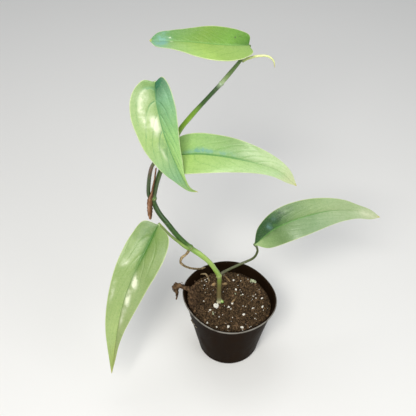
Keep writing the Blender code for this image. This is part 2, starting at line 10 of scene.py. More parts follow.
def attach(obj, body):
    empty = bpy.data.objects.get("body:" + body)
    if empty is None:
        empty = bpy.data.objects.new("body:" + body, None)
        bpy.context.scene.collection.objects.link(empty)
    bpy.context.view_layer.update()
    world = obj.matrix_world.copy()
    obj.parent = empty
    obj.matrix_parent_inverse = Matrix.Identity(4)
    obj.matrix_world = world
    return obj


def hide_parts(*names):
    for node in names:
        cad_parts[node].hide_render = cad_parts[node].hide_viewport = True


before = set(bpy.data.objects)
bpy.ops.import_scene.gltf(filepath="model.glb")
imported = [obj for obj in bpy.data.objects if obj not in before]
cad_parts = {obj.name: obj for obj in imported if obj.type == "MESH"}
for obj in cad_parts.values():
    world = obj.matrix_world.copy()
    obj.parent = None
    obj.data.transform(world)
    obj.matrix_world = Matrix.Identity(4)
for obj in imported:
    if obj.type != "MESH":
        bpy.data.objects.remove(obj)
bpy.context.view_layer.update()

mm = 0.001
print("frame loaded with", len(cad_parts), "nodes")


class Num:  # a number that changes over the surface
    def __init__(self, tree, socket):
        self.tree = tree
        self.socket = socket

    def math(self, operation, *others, flipped=False):
        made = self.tree.nodes.new("ShaderNodeMath")
        made.operation = operation
        for slot, value in zip(made.inputs, (*others, self) if flipped else (self, *others)):
            if isinstance(value, Num):
                self.tree.links.new(value.socket, slot)
            else:
                slot.default_value = value
        return Num(self.tree, made.outputs[0])

    def __rsub__(self, other):
        return self.math("SUBTRACT", other, flipped=True)

    def __abs__(self):
        return self.math("ABSOLUTE")

    def step(self, low, high):  # 0 at low, 1 at high, smooth between
        made = self.tree.nodes.new("ShaderNodeMapRange")
        made.interpolation_type = "SMOOTHSTEP"
        self.tree.links.new(self.socket, made.inputs["Value"])
        made.inputs["From Min"].default_value = low
        made.inputs["From Max"].default_value = high
        return Num(self.tree, made.outputs["Result"])

    def hump(self, centre, width):  # 1 at the centre, falling off over the width
        off = (self - centre) / width
        return (off * off * -1).math("EXPONENT")

    def ridge(self):  # 0 halfway between whole numbers, 1 at each
        return abs(self.math("FRACT") - 0.5) * 2


signs = {"add": "ADD", "radd": "ADD", "sub": "SUBTRACT", "mul": "MULTIPLY", "rmul": "MULTIPLY",
         "truediv": "DIVIDE", "pow": "POWER"}
for sign, work in signs.items():
    setattr(Num, "__" + sign + "__", lambda self, other, work=work: self.math(work, other))


class Finish:  # one material and the way its nodes are added
    def __init__(self, name, roughness, specular, coat=0, coatRoughness=0.2):
        self.material = bpy.data.materials.new(name)
        self.material.use_nodes = True
        self.tree = self.material.node_tree
        self.shader = self.tree.nodes["Principled BSDF"]
        for socket, value in (("Roughness", roughness), ("Specular IOR Level", specular),
                              ("Coat Weight", coat), ("Coat Roughness", coatRoughness)):
            self.shader.inputs[socket].default_value = value
        self.coordinates = self.node("ShaderNodeTexCoord", {}, {})

    def node(self, kind, settings, sockets):
        made = self.tree.nodes.new(kind)
        for key, value in settings.items():
            setattr(made, key, value)
        for key, value in sockets.items():
            self.put(made.inputs[key], value)
        return made

    def put(self, slot, value):
        if isinstance(value, Num):
            self.tree.links.new(value.socket, slot)
        elif isinstance(value, bpy.types.NodeSocket):
            self.tree.links.new(value, slot)
        elif slot.type == "RGBA":
            slot.default_value = (*value, 1)
        else:
            slot.default_value = value

    def noise(self, scale, detail=3, roughness=0.55, stretch=(1, 1, 1), space="Object", distortion=0):
        mapping = {"Vector": self.coordinates.outputs[space], "Scale": stretch}
        mapped = self.node("ShaderNodeMapping", {}, mapping).outputs[0]
        sockets = {"Vector": mapped, "Scale": scale, "Detail": detail, "Roughness": roughness,
                   "Distortion": distortion}
        return Num(self.tree, self.node("ShaderNodeTexNoise", {}, sockets).outputs["Fac"])

    def cells(self, scale, feature="F1"):
        sockets = {"Vector": self.coordinates.outputs["Object"], "Scale": scale}
        made = self.node("ShaderNodeTexVoronoi", {"feature": feature}, sockets)
        return Num(self.tree, made.outputs["Distance"])

    def axes(self, space):
        made = self.node("ShaderNodeSeparateXYZ", {}, {"Vector": self.coordinates.outputs[space]})
        return [Num(self.tree, output) for output in made.outputs]

    def attribute(self, name):
        return Num(self.tree, self.node("ShaderNodeAttribute", {"attribute_name": name}, {}).outputs["Fac"])

    def mix(self, factor, first, second, blend="MIX"):
        settings = {"data_type": "RGBA", "blend_type": blend, "clamp_factor": True}
        made = self.node("ShaderNodeMix", settings, {0: factor, 6: first, 7: second})  # 6, 7: colours
        return made.outputs[2]

    def ramp(self, value, stops):
        made = self.node("ShaderNodeValToRGB", {}, {"Fac": value})
        points = made.color_ramp.elements
        while len(points) < len(stops):
            points.new(0.5)
        for point, (place, colour) in zip(points, stops):
            point.position = place
            point.color = (*colour, 1)
        return made.outputs["Color"]

    def bump(self, height, strength, distance):
        made = self.node("ShaderNodeBump", {}, {"Height": height, "Strength": strength, "Distance": distance})
        self.put(self.shader.inputs["Normal"], made.outputs[0])

    def colour(self, value):
        self.base = value
        self.put(self.shader.inputs["Base Color"], value)

    def lay(self, share, value):  # one more tone over those that are there
        self.colour(self.mix(share, self.base, value))

    def rough(self, value):
        self.put(self.shader.inputs["Roughness"], value)


def spline(points, perSpan):  # a smooth curve through the points
    grid = np.array(points, float)
    padded = np.vstack([2 * grid[0] - grid[1], grid, 2 * grid[-1] - grid[-2]])
    fine = []
    for i in range(len(grid) - 1):
        before, here, there, after = padded[i:i + 4]
        for k in range(perSpan):
            part = k / perSpan
            square = (2 * before - 5 * here + 4 * there - after) * part * part
            cube = (3 * here - before - 3 * there + after) * part ** 3
            fine.append(0.5 * (2 * here + (there - before) * part + square + cube))
    fine.append(grid[-1])
    return np.array(fine)


def lengths(points):  # how far along the curve each point lies
    return np.r_[0, np.cumsum(np.linalg.norm(np.diff(points[:, :3], axis=0), axis=1))]


def unit(rows):
    return rows / np.linalg.norm(rows, axis=-1, keepdims=True)


def meshFrom(name, bm):
    mesh = bpy.data.meshes.new(name)
    bm.to_mesh(mesh)
    bm.free()
    return mesh


def addObject(name, data):
    made = bpy.data.objects.new(name, data)
    bpy.context.scene.collection.objects.link(made)
    return made


def addPiece(name, bm, finishes, replaced=None, smooth=True):
    mesh = meshFrom(name, bm)
    for face in mesh.polygons:
        face.use_smooth = smooth
    piece = addObject(name, mesh)
    for finish in finishes:
        mesh.materials.append(finish.material)
    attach(piece, "root")
    if replaced:
        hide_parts(replaced)
    return piece


def weld(bm, near):
    bmesh.ops.remove_doubles(bm, verts=bm.verts[:], dist=near)
    bmesh.ops.recalc_face_normals(bm, faces=bm.faces[:])


def mappedSheet(alongCount, acrossCount, place):
    # a flat grid with a UV map, each vertex then put in place by its two shares
    bm = bmesh.new()
    bm.loops.layers.uv.new("UVMap")
    bmesh.ops.create_grid(bm, x_segments=alongCount, y_segments=acrossCount, size=0.5, calc_uvs=True)
    for vertex in bm.verts:
        vertex.co = place(vertex.co.x + 0.5, vertex.co.y + 0.5)
    return bm


def tube(path, around, perSpan, shape=None):
    # a round stalk along x, y, z and radius; shape is a factor on the radius, from the angle and the mm along
    fine = spline(path, perSpan)
    steps = lengths(fine)
    count = len(fine) - 1
    ahead = unit(np.gradient(fine[:, :3], axis=0))
    side = np.cross(ahead[0], (0.31, 0.17, 0.93) if abs(ahead[0][2]) < 0.9 else (1, 0.1, 0))
    sides = []
    for forward in ahead:
        side = unit(side - side.dot(forward) * forward)
        sides.append(side)

    def place(along, across):
        i = min(int(round(along * count)), count)
        angle = 2 * pi * (across % 1)
        up = np.cross(ahead[i], sides[i])
        radius = fine[i, 3] * (shape(angle, steps[i]) if shape else 1)
        return Vector(fine[i, :3] + (sides[i] * cos(angle) + up * sin(angle)) * radius) * mm
    bm = mappedSheet(count, around, place)
    bmesh.ops.remove_doubles(bm, verts=bm.verts[:], dist=1e-7)
    bmesh.ops.holes_fill(bm, edges=[edge for edge in bm.edges if edge.is_boundary], sides=0)
    bmesh.ops.recalc_face_normals(bm, faces=bm.faces[:])
    return bm


def grain(rng, place, size, stretch, faces, rough):  # one rough bit of perlite, bark or peat
    bm = bmesh.new()
    bmesh.ops.create_icosphere(bm, subdivisions=faces, radius=size * mm)
    for vertex in bm.verts:
        vertex.co *= 1 + rng.uniform(-rough, rough)
    bmesh.ops.scale(bm, verts=bm.verts[:], vec=stretch)
    turn = Vector((rng.uniform(-1, 1), rng.uniform(-1, 1), rng.uniform(-1, 1))).to_track_quat("Z", "Y")
    bmesh.ops.rotate(bm, verts=bm.verts[:], cent=(0, 0, 0), matrix=turn.to_matrix())
    bmesh.ops.translate(bm, verts=bm.verts[:], vec=Vector(place) * mm)
    return bm


def gather(parts):
    whole = bmesh.new()
    for part in parts:
        mesh = meshFrom("part", part)
        whole.from_mesh(mesh)
        bpy.data.meshes.remove(mesh)
    return whole


# sizes are in mm and angles in radians here and below, and colours are linear
pot = {
    "height": 65, "rim": 40, "foot": 26.7, "footRound": 4, "wall": 0.9, "lipWidth": 1.7, "lipDrop": 1.5,
    "oval": 0.04, "ovalTurn": radians(46), "square": 0.015, "squareTurn": radians(-12),
    "wobble": 0.0012, "around": 180, "arcSteps": 8, "floorRing": 6,
    "holes": 8, "holeRadius": 1.9, "holesAt": 23.4, "holesTurn": radians(8),
    # the lip's section, out from the wall and up from the lip's lower edge
    "lip": [(0.05, -0.45), (0.35, -0.12), (1.25, 0.02), (1.62, 0.3), (1.7, 0.75), (1.58, 1.2), (1.2, 1.46),
        (0.7, 1.5), (0.25, 1.4), (-0.25, 1.1), (-0.6, 0.55)],
    "wornWidth": 0.75, "wornFrom": 0.2, "dustTop": (45, 62),
    "plastic": (0.0108, 0.0056, 0.0026), "dust": (0.023, 0.0125, 0.0065), "rimWorn": (0.25, 0.235, 0.205),
    "streak": (0.02, 0.0145, 0.011), "splash": (0.13, 0.095, 0.06),
}


def rimFactor(angle, height):  # the round pot is slightly oval and square, more so towards the rim
    share = (height / pot["height"]) ** 2
    oval = -pot["oval"] * cos(2 * (angle - pot["ovalTurn"]))
    square = pot["square"] * cos(4 * (angle - pot["squareTurn"]))
    return 1 + share * (oval + square)


def wallInside(height):
    share = (height - pot["footRound"]) / (pot["height"] - pot["lipDrop"] - pot["footRound"])
    low = pot["foot"] - pot["wall"]
    high = pot["rim"] - pot["lipWidth"] - pot["wall"]
    return low + (high - low) * share


def potFinish():
    skin = Finish("potPlastic", roughness=0.46, specular=0.01)
    height = skin.axes("Object")[2] / mm
    dust = skin.noise(90, 5, 0.6, stretch=(1, 1, 0.6)).step(0.42, 0.72)
    dust = dust * (1 - height.step(*pot["dustTop"]) * 0.5)
    streaks = skin.noise(240, 3, 0.5, stretch=(1, 1, 0.08)).step(0.5, 0.75)
    splash = skin.cells(520).step(0.16, 0.05) * skin.noise(60, 2).step(0.52, 0.62)
    skin.colour(skin.mix(dust * 0.55, pot["plastic"], pot["dust"]))
    skin.lay(streaks * 0.25, pot["streak"])
    skin.lay(splash * 0.6, pot["splash"])
    worn = (skin.attribute("worn") * (0.15 + skin.noise(170, 4, 0.6) * 1.75)).step(0.45, 1.05)
    skin.lay(worn * 0.85, pot["rimWorn"])
    skin.rough(0.36 + dust * 0.2 + worn * 0.12)
    skin.bump(skin.noise(45, 2) * 0.5 + skin.noise(700, 3) * 0.12, 0.25, 0.0006)
    return skin


def between(low, high, shares):
    return [tuple(start + (end - start) * share for start, end in zip(low, high)) for share in shares]


def potSection():  # from the middle of the foot, up outside, over the lip and down inside
    turn, wall = pot["footRound"], pot["wall"]
    centre = pot["foot"] - turn
    flat = centre - pot["floorRing"]
    rim = pot["rim"] - pot["lipWidth"]
    lipLow = pot["height"] - pot["lipDrop"]
    quarter = [pi / 2 * k / pot["arcSteps"] for k in range(pot["arcSteps"] + 1)]
    outer, inner = ([(centre + radius * sin(bend), turn - radius * cos(bend)) for bend in quarter]
                    for radius in (turn, turn - wall))
    section = [(0, 0), (flat, 0)] + outer
    section += between(outer[-1], (rim, lipLow), (0.1, 0.2, 0.3, 0.4, 0.5, 0.6, 0.7, 0.8, 0.9, 0.97))
    section += [(rim + out, lipLow + up) for out, up in pot["lip"]]
    section += between(inner[-1], (rim - wall, lipLow), (0.97, 0.85, 0.7, 0.55, 0.4, 0.25, 0.1))
    return section + inner[::-1] + [(flat, wall), (0, wall)]


def makePot():
    top = pot["height"]
    section = potSection()
    bm = bmesh.new()
    worn = bm.verts.layers.float.new("worn")
    row = [bm.verts.new((radius * mm, 0, high * mm)) for radius, high in section]
    for vertex, (radius, high) in zip(row, section):
        onLip = radius > pot["rim"] - pot["wornWidth"] and high > top - pot["lipDrop"] + pot["wornFrom"]
        vertex[worn] = 1.0 if onLip else 0.0
    edges = [bm.edges.new(pair) for pair in zip(row, row[1:])]
    bmesh.ops.spin(bm, geom=row + edges, cent=(0, 0, 0), axis=(0, 0, 1), dvec=(0, 0, 0), angle=2 * pi,
                   steps=pot["around"], use_merge=True)
    weld(bm, 1e-6)
    for vertex in bm.verts:
        x, y, z = vertex.co
        angle = atan2(y, x)
        high = z / mm
        factor = rimFactor(angle, max(high, 0.0))
        if pot["footRound"] + 2 < high < top - 2:
            factor += pot["wobble"] * sin(5 * angle + high * 0.08) * sin(pi * high / top)
        vertex.co = (x * factor, y * factor, z)
    piece = addPiece("potBody", bm, [potFinish()], "pot")

    holes = []
    for i in range(pot["holes"]):
        angle = pot["holesTurn"] + 2 * pi * (i + 0.5) / pot["holes"]
        hole = bmesh.new()
        bmesh.ops.create_cone(hole, cap_ends=True, segments=28, radius1=pot["holeRadius"] * mm,
                              radius2=pot["holeRadius"] * mm, depth=8 * mm)
        spot = Vector((cos(angle), sin(angle), 0)) * pot["holesAt"] * mm
        bmesh.ops.translate(hole, verts=hole.verts[:], vec=spot)
        holes.append(hole)
    cutter = addObject("holes", meshFrom("holes", gather(holes)))
    drain = piece.modifiers.new("drain", "BOOLEAN")
    drain.object = cutter
    drain.solver = "EXACT"
    bpy.context.view_layer.update()
    done = bpy.data.meshes.new_from_object(piece.evaluated_get(bpy.context.evaluated_depsgraph_get()))
    piece.modifiers.clear()
    piece.data = done
    bpy.data.objects.remove(cutter, do_unlink=True)


makePot()
print("pot made")


soil = {
    "top": 55, "rise": 3.5, "riseFrom": radians(172), "lump": 0.9, "gap": 0.3, "foot": 5, "footDrop": 3.8,
    "rings": 120, "around": 300, "topShare": 0.8, "wallShare": 0.7, "stem": (-8.8, 0.6), "hollow": (0.9, 3.2),
    "dark": (0.006, 0.004, 0.002), "peat": (0.046, 0.028, 0.014), "clod": (0.105, 0.064, 0.031),
    # the gap tone is painted shade for the gaps between crumbs
    "pale": (0.24, 0.16, 0.08), "strand": (0.22, 0.14, 0.07), "gapShade": (0.008, 0.005, 0.003),
}
# what lies on the soil; spots are across, along and size, and some have their stretch as well
bits = {
    "reach": 33.5, "perlite": 60, "bark": 85, "crumbs": 1500, "fibres": 110,
    "perliteSpots": [ (-11.2, -5.4, 2.9), (-16.8, -8.7, 1.3), (-5.7, -13.1, 0.8), (12.4, -13.1, 1.4),
        (20.4, -6.5, 1.35), (29, -5, 1.3), (-18.8, -22, 1.2), (-11.4, -26.8, 1), (-1.6, -26.5, 1.9),
        (10.2, -26.4, 1.6), (3.8, 25.7, 1.1), (16.8, 27.4, 1.2), (6.2, 14.9, 1.1), (28.7, 4.6, 1.1),
        (20.9, 6.9, 0.9), (2.3, -1, 1.1), (-0.6, -4.6, 1.2), (1.2, -7.2, 0.8), (-2, -5.8, 0.7),
        (12, 9, 0.9), (23.5, 9.5, 0.8), (26.5, 12.5, 0.7)],
    "tanSpots": [(-13.6, 19, 1.9, (1.2, 0.9, 0.7)), (-3.6, 20.6, 1.7, (1.4, 0.9, 0.7)),
        (-1, 26.2, 1.5, (2.7, 0.6, 0.5)), (3.4, 1.8, 1.5, (1.9, 1, 0.5))],
    "paleSpots": [(21.6, 24.6, 2.5), (23.6, 23.2, 1.7), (19.8, 25, 1.5), (-13.8, -12.4, 1.1),
        (-14.4, -11.2, 0.8), (5.5, 9.5, 0.9), (10.5, 8.6, 0.7)],
}


def soilHeight(x, y):  # the CAD soil's own height
    away = hypot(x, y) / 35
    leftward = max(0.0, cos(atan2(y, x) - soil["riseFrom"]))
    lift = leftward ** 2 * max(0.0, away - 0.35) * soil["rise"] * 1.6
    lumps = (sin(x * 0.52 + 1.3 * sin(y * 0.31)) * cos(y * 0.47 + 0.8)
             + 0.6 * sin(x * 0.93 - y * 0.71 + 2) + 0.4 * cos(x * 1.4 + y * 1.1))
    return soil["top"] + lift + soil["lump"] * 0.6 * lumps


def soilRelief(x, y):
    def rumple(seed, scale):
        return noise.fractal(Vector((x * scale, y * scale, seed)), 0.6, 2.1, 4)
    clods = max(0.0, noise.noise(Vector((x * 0.8, y * 0.8, 5)))) * 0.9
    return soilHeight(x, y) + 0.55 * rumple(3.1, 0.45) + 0.3 * rumple(7.7, 1.3) + clods


def soilFinish():
    skin = Finish("peat", roughness=0.95, specular=0.15)
    clumps = skin.noise(620, 6, 0.7)
    flecks = skin.noise(1500, 4, 0.6)
    strands = skin.noise(900, 2, 0.5, stretch=(1, 0.25, 1), distortion=1.5).step(0.62, 0.72)
    tones = [soil[key] for key in ("dark", "peat", "clod", "pale")]
    skin.colour(skin.ramp(clumps, list(zip((0.4, 0.5, 0.6, 0.74), tones))))
    skin.lay(flecks.step(0.6, 0.74) * 0.6, soil["pale"])
    skin.lay(strands * 0.55, soil["strand"])
    # painted shade: dark flecks for the gaps between crumbs
    skin.lay(flecks.step(0.42, 0.3) * 0.7, soil["gapShade"])
    skin.bump(clumps * 0.8 + flecks * 0.5, 0.9, 0.0009)
    return skin


def grainFinish(name, low, high, roughness=0.9, scale=1400, specular=0.2, bump=(0.7, 0.0004)):
    skin = Finish(name, roughness, specular)
    grainy = skin.noise(scale, 4, 0.6)
    skin.colour(skin.mix(grainy.step(0.35, 0.65), low, high))
    skin.bump(grainy, *bump)
    return skin


def potEdge(angle, height):  # how far out the soil reaches
    return (wallInside(height) - soil["gap"]) * rimFactor(angle, height)


def inPot(x, y, height, margin):
    return hypot(x, y) < potEdge(atan2(y, x), height) - margin


def fromStem(x, y):
    return hypot(x - soil["stem"][0], y - soil["stem"][1])


def makeSoil():
    topShare, wallShare, foot = soil["topShare"], soil["wallShare"], soil["foot"]

    def place(along, across):
        angle = 2 * pi * (across % 1.0)

        def at(reach, high):
            return Vector((reach * cos(angle), reach * sin(angle), high)) * mm
        if along <= topShare:
            share = along / topShare
            reach = share * potEdge(angle, soil["top"] + 1)
            x = reach * cos(angle)
            y = reach * sin(angle)
            high = soilRelief(x, y)
            depth, width = soil["hollow"]
            low = high - depth * exp(-(fromStem(x, y) / width) ** 2)
            return at(potEdge(angle, high) * share if share > 0.985 else reach, low)
        drop = (along - topShare) / (1 - topShare)
        if drop <= wallShare:
            high = soil["top"] - (soil["top"] - foot) * drop / wallShare
            return at(potEdge(angle, high), high)
        under = (drop - wallShare) / (1 - wallShare)
        edge = potEdge(angle, foot)
        return at(edge * (1 - under) if under > 0.5 else edge - 0.9 * under, foot - soil["footDrop"] * under)
    bm = mappedSheet(soil["rings"], soil["around"], place)
    weld(bm, 1e-6)
    addPiece("soilBody", bm, [soilFinish()], "soil")


def scatter(rng, count, keepOff=3.4):
    spots = []
    while len(spots) < count:
        away = bits["reach"] * sqrt(rng.random())
        angle = rng.uniform(0, 2 * pi)
        x = away * cos(angle)
        y = away * sin(angle)
        if fromStem(x, y) > keepOff and away < potEdge(angle, soil["top"]) - 1.2:
            spots.append((x, y))
    return spots


def addBits(name, grains, skin, low, high, scale=1400):
    addPiece(name, gather(grains), [grainFinish(skin, low, high, scale=scale)], smooth=False)


def makeBits():
    rng = random.Random(17)

    def onSoil(x, y, lift, size, stretch, faces, rough):
        return grain(rng, (x, y, soilRelief(x, y) + lift), size, stretch, faces, rough)
    perlite = []
    for x, y, size in bits["perliteSpots"]:  # each a clump of two or three sharp bits
        for k in range(3 if size > 1 else 2):
            spot = (x + rng.uniform(-0.45, 0.45) * size, y + rng.uniform(-0.4, 0.4) * size)
            stretch = (rng.uniform(0.7, 1.1), rng.uniform(0.6, 1.0), rng.uniform(0.5, 0.8))
            perlite.append(onSoil(*spot, size * rng.uniform(0.15, 0.45), size * 0.85, stretch, 1, 0.3))
    for x, y in scatter(rng, bits["perlite"]):
        size = rng.uniform(0.25, 0.62)
        perlite.append(onSoil(x, y, size * 0.2, size, (1.1, 0.9, 0.8), 1, 0.22))
    addBits("perliteBits", perlite, "perlite", (0.66, 0.62, 0.52), (0.95, 0.93, 0.86))
    bark = []
    for x, y in scatter(rng, bits["bark"]):
        size = rng.uniform(0.5, 1.5)
        stretch = (rng.uniform(1.2, 2.2), rng.uniform(0.6, 0.9), rng.uniform(0.35, 0.6))
        bark.append(onSoil(x, y, size * 0.1, size, stretch, 2, 0.14))
    addBits("barkBits", bark, "bark", (0.04, 0.023, 0.012), (0.19, 0.115, 0.06), scale=600)
    tan = [onSoil(x, y, size * 0.3, size, stretch, 3, 0.12) for x, y, size, stretch in bits["tanSpots"]]
    addBits("tanChips", tan, "tanBark", (0.19, 0.115, 0.05), (0.44, 0.3, 0.15))
    pale = [onSoil(x, y, size * 0.3, size, (1.1, 0.8, 0.7), 1, 0.3) for x, y, size in bits["paleSpots"]]
    addBits("paleChips", pale, "paleChip", (0.25, 0.29, 0.15), (0.58, 0.62, 0.44))
    crumbs = []
    for x, y in scatter(rng, bits["crumbs"], 2.8):
        size = rng.uniform(0.12, 0.4) * (1.7 if rng.random() < 0.08 else 1)
        stretch = (rng.uniform(0.8, 2.2), rng.uniform(0.6, 1.1), rng.uniform(0.5, 1))
        crumbs.append(onSoil(x, y, size * 0.25, size, stretch, 1, 0.35))
    addBits("peatCrumbs", crumbs, "peatCrumb", (0.012, 0.007, 0.003), (0.2, 0.12, 0.056), scale=260)
    fibres = []
    for x, y in scatter(rng, bits["fibres"], 4):
        turn = rng.uniform(0, pi)
        reach = rng.uniform(1.2, 4.2)
        bend = rng.uniform(-0.8, 0.8)
        path = []
        for k in range(4):
            out = (k / 3 - 0.5) * reach
            bow = bend * (1 - (2 * k / 3 - 1) ** 2)
            px = x + out * cos(turn) - bow * sin(turn)
            py = y + out * sin(turn) + bow * cos(turn)
            if not inPot(px, py, soil["top"], 0.8):
                break
            path.append((px, py, soilRelief(px, py) + 0.22 + 0.5 * rng.random(), rng.uniform(0.06, 0.14)))
        if len(path) == 4:
            fibres.append(tube(path, 5, 3))
    skin = grainFinish("peatFibre", (0.1, 0.055, 0.028), (0.3, 0.2, 0.11))
    addPiece("peatFibres", gather(fibres), [skin])


makeSoil()
makeBits()
print("soil made")


# paths here and below are x, y, z and radius
stemX, stemY = soil["stem"]
vine = {
    "path": [ (stemX, stemY, 30, 1.9), (stemX, stemY, 44, 2), (stemX, stemY, 57, 2.05),
        (-9.2, 0.6, 68, 1.95), (-9, 1.2, 79, 1.95), (-9.3, 2, 88.2, 2), (-12.4, 2.5, 95.5, 2),
        (-17.6, 3.5, 104.2, 2), (-24.8, 4.5, 112, 2.22), (-33.3, 6, 119, 2.28), (-43.2, 8, 130.6, 2.22),
        (-50.8, 11, 141.2, 2.17), (-57.4, 14.5, 149.6, 2.11), (-61.2, 18, 156.5, 2.11),
        (-61.9, 20, 161.3, 2.17), (-60.6, 22, 168.1, 2.05), (-58.1, 24, 177.8, 1.99),
        (-54.8, 26, 187.1, 1.94), (-51, 28, 195.8, 1.94), (-45.4, 31, 207.6, 1.99),
        (-39.7, 34, 219.6, 1.94), (-30.5, 37, 231.2, 1.88), (-20.8, 40, 242, 1.6), (-8.6, 44, 255, 1.65)],
    "nodesAt": (5, 9, 14, 19, 23), "radius": 1.9, "swell": 0.5, "spread": 1.4, "ridges": 7,
    "ridgeDepth": 0.03,
    "scar": [(-0.55, -0.12), (-0.25, 0.06), (0.05, 0.09), (0.35, 0.05), (0.6, -0.15)],
    # share up the stem and its colour there
    "colours": [ (0, (0.3, 0.33, 0.16)), (0.095, (0.4, 0.42, 0.23)), (0.115, (0.22, 0.17, 0.075)),
        (0.17, (0.17, 0.155, 0.05)), (0.2, (0.2, 0.27, 0.05)), (0.217, (0.28, 0.36, 0.09)),
        (0.25, (0.23, 0.37, 0.055)), (0.31, (0.3, 0.44, 0.085)), (0.36, (0.22, 0.38, 0.05)),
        (0.385, (0.15, 0.27, 0.038)), (0.41, (0.04, 0.11, 0.01)), (0.5, (0.022, 0.062, 0.006)),
        (0.6, (0.028, 0.068, 0.008)), (0.612, (0.11, 0.2, 0.045)), (0.64, (0.036, 0.064, 0.012)),
        (0.8, (0.06, 0.13, 0.012)), (0.86, (0.18, 0.33, 0.022)), (0.9, (0.24, 0.42, 0.03)),
        (0.925, (0.15, 0.29, 0.022)), (0.95, (0.03, 0.08, 0.008)), (0.988, (0.026, 0.066, 0.014)),
        # painted highlight just above the top node
        (1, (0.34, 0.43, 0.27))],
    "stub": [(0.8, -0.4, 57.2, 1.3), (2, -1, 57.5, 1.5), (2.9, -1.5, 57.1, 1.35), (3.3, -1.7, 56.6, 0.5)],
    "collar": [(0, 0, 55.4, 2.1), (0, 0, 56.2, 2.45), (0.1, 0, 57, 2.55), (0.1, 0, 57.8, 2.35),
        (0, 0, 58.6, 2.02)],
}
# each stalk's lit value is the strength of the painted highlight on its upper side
stalks = {
    "a": {"path": [(-33.3, 6, 119, 1.3), (-35.9, 3.2, 121.4, 1.5), (-42.8, 4, 128, 1.3),
        (-48.9, 2.5, 137.1, 1.2), (-54.2, 1.4, 146.4, 1.2), (-57.4, 1.6, 151, 1.3)], "highlightPaint": 0.3,
          "colours": [(0, (0.17, 0.3, 0.045)), (0.45, (0.185, 0.28, 0.0525)), (1, (0.2, 0.26, 0.06))]},
    "b": {"path": [(-45.4, 31, 207.6, 1.3), (-46.6, 27.6, 211, 1.5), (-49.7, 23, 226.1, 1.3),
        (-52.6, 19.4, 244.9, 1.2), (-54.6, 17.6, 262, 1.2), (-55.3, 17, 275, 1.3)], "highlightPaint": 0.08,
          "colours": [(0, (0.07, 0.13, 0.025)), (0.45, (0.11, 0.19, 0.0425)), (1, (0.15, 0.25, 0.06))]},
    "c": {"path": [(-61.9, 20, 161.3, 1.4), (-65.2, 19.4, 163.8, 1.7), (-65.6, 20, 171, 1.75),
        (-63.8, 20.5, 186, 1.65), (-60.4, 19, 198, 1.4), (-54, 17, 205.6, 1.2), (-46.2, 15.4, 209.4, 1.3)],
          "highlightPaint": 0.08, "colours": [(0, (0.026, 0.056, 0.008)), (0.45, (0.03, 0.062, 0.01)),
                                   (0.6, (0.13, 0.065, 0.038)), (0.7, (0.078, 0.123, 0.0265)),
                                   (1, (0.13, 0.19, 0.045))]},
    "d": {"path": [(-8.6, 44, 255, 1.75), (-2.5, 45.5, 262.6, 1.7), (4.2, 47, 271.4, 1.4),
        (8.2, 48, 277.3, 1.15), (10.6, 48, 282.3, 1.15), (11, 47, 284.8, 1.2)], "highlightPaint": 0.08,
          # the first stops are a painted highlight where the stalk leaves the top node
          "colours": [(0, (0.36, 0.44, 0.26)), (0.1, (0.2, 0.28, 0.11)), (0.22, (0.085, 0.15, 0.035)),
              (0.5, (0.0925, 0.175, 0.0325)), (1, (0.1, 0.2, 0.03))]},
    "e": {"path": [(-9.3, 2, 88.2, 1.3), (-6, 4.4, 89.6, 1.4), (-1.6, 7.4, 90, 1.15), (9.2, 13, 91.2, 1.1),
        (19.5, 14.8, 96.2, 1.05), (22.8, 13.4, 105.4, 1.05), (22.2, 11.4, 113.4, 1.1),
        (19.9, 8.8, 119.8, 1.25)], "highlightPaint": 0.08,
          "colours": [(0, (0.052, 0.04, 0.014)), (0.45, (0.0685, 0.0825, 0.021)),
              (1, (0.085, 0.125, 0.028))]},
}
# lit and gain give the tone of the painted highlight on a stalk's upper side
stalkTones = {
    "shadow": (0.55, 0.62, 0.45), "mottle": (0.2, 0.21, 0.09), "highlightGain": (1.9, 1.7, 2),
    "highlightPaint": (0.58, 0.66, 0.34),
}


def stalkFinish(name, stops, roughness=0.42, highlightPaint=0.3, highlightPaintUpTo=2):
    skin = Finish(name, roughness=roughness, specular=0.5, coat=0.35, coatRoughness=0.2)
    along = skin.axes("UV")[0]
    skin.colour(skin.ramp(along, stops))
    lines = skin.noise(6, 3, 0.6, stretch=(3.5, 26, 1), space="UV")
    mottle = skin.noise(500, 3, 0.6)
    skin.lay(lines.step(0.48, 0.66) * 0.6, skin.mix(1, skin.base, stalkTones["shadow"], "MULTIPLY"))
    skin.lay(mottle.step(0.55, 0.75) * 0.3, stalkTones["mottle"])
    # painted highlight: the side that faces up is paler, as far up the stem as the given share
    facing = skin.axes("Normal")[2].step(0.3, 0.95) * (1 - along.step(highlightPaintUpTo - 0.06, highlightPaintUpTo))
    pale = skin.mix(0.35, skin.mix(1, skin.base, stalkTones["highlightGain"], "MULTIPLY"), stalkTones["highlightPaint"])
    skin.lay(facing * highlightPaint, pale)
    skin.rough(roughness + mottle * 0.2 - 0.1)
    skin.bump(lines * 0.7 + mottle * 0.25, 0.3, 0.0004)
    return skin


def besideStem(path):
    return [(stemX + x, stemY + y, z, radius) for x, y, z, radius in path]


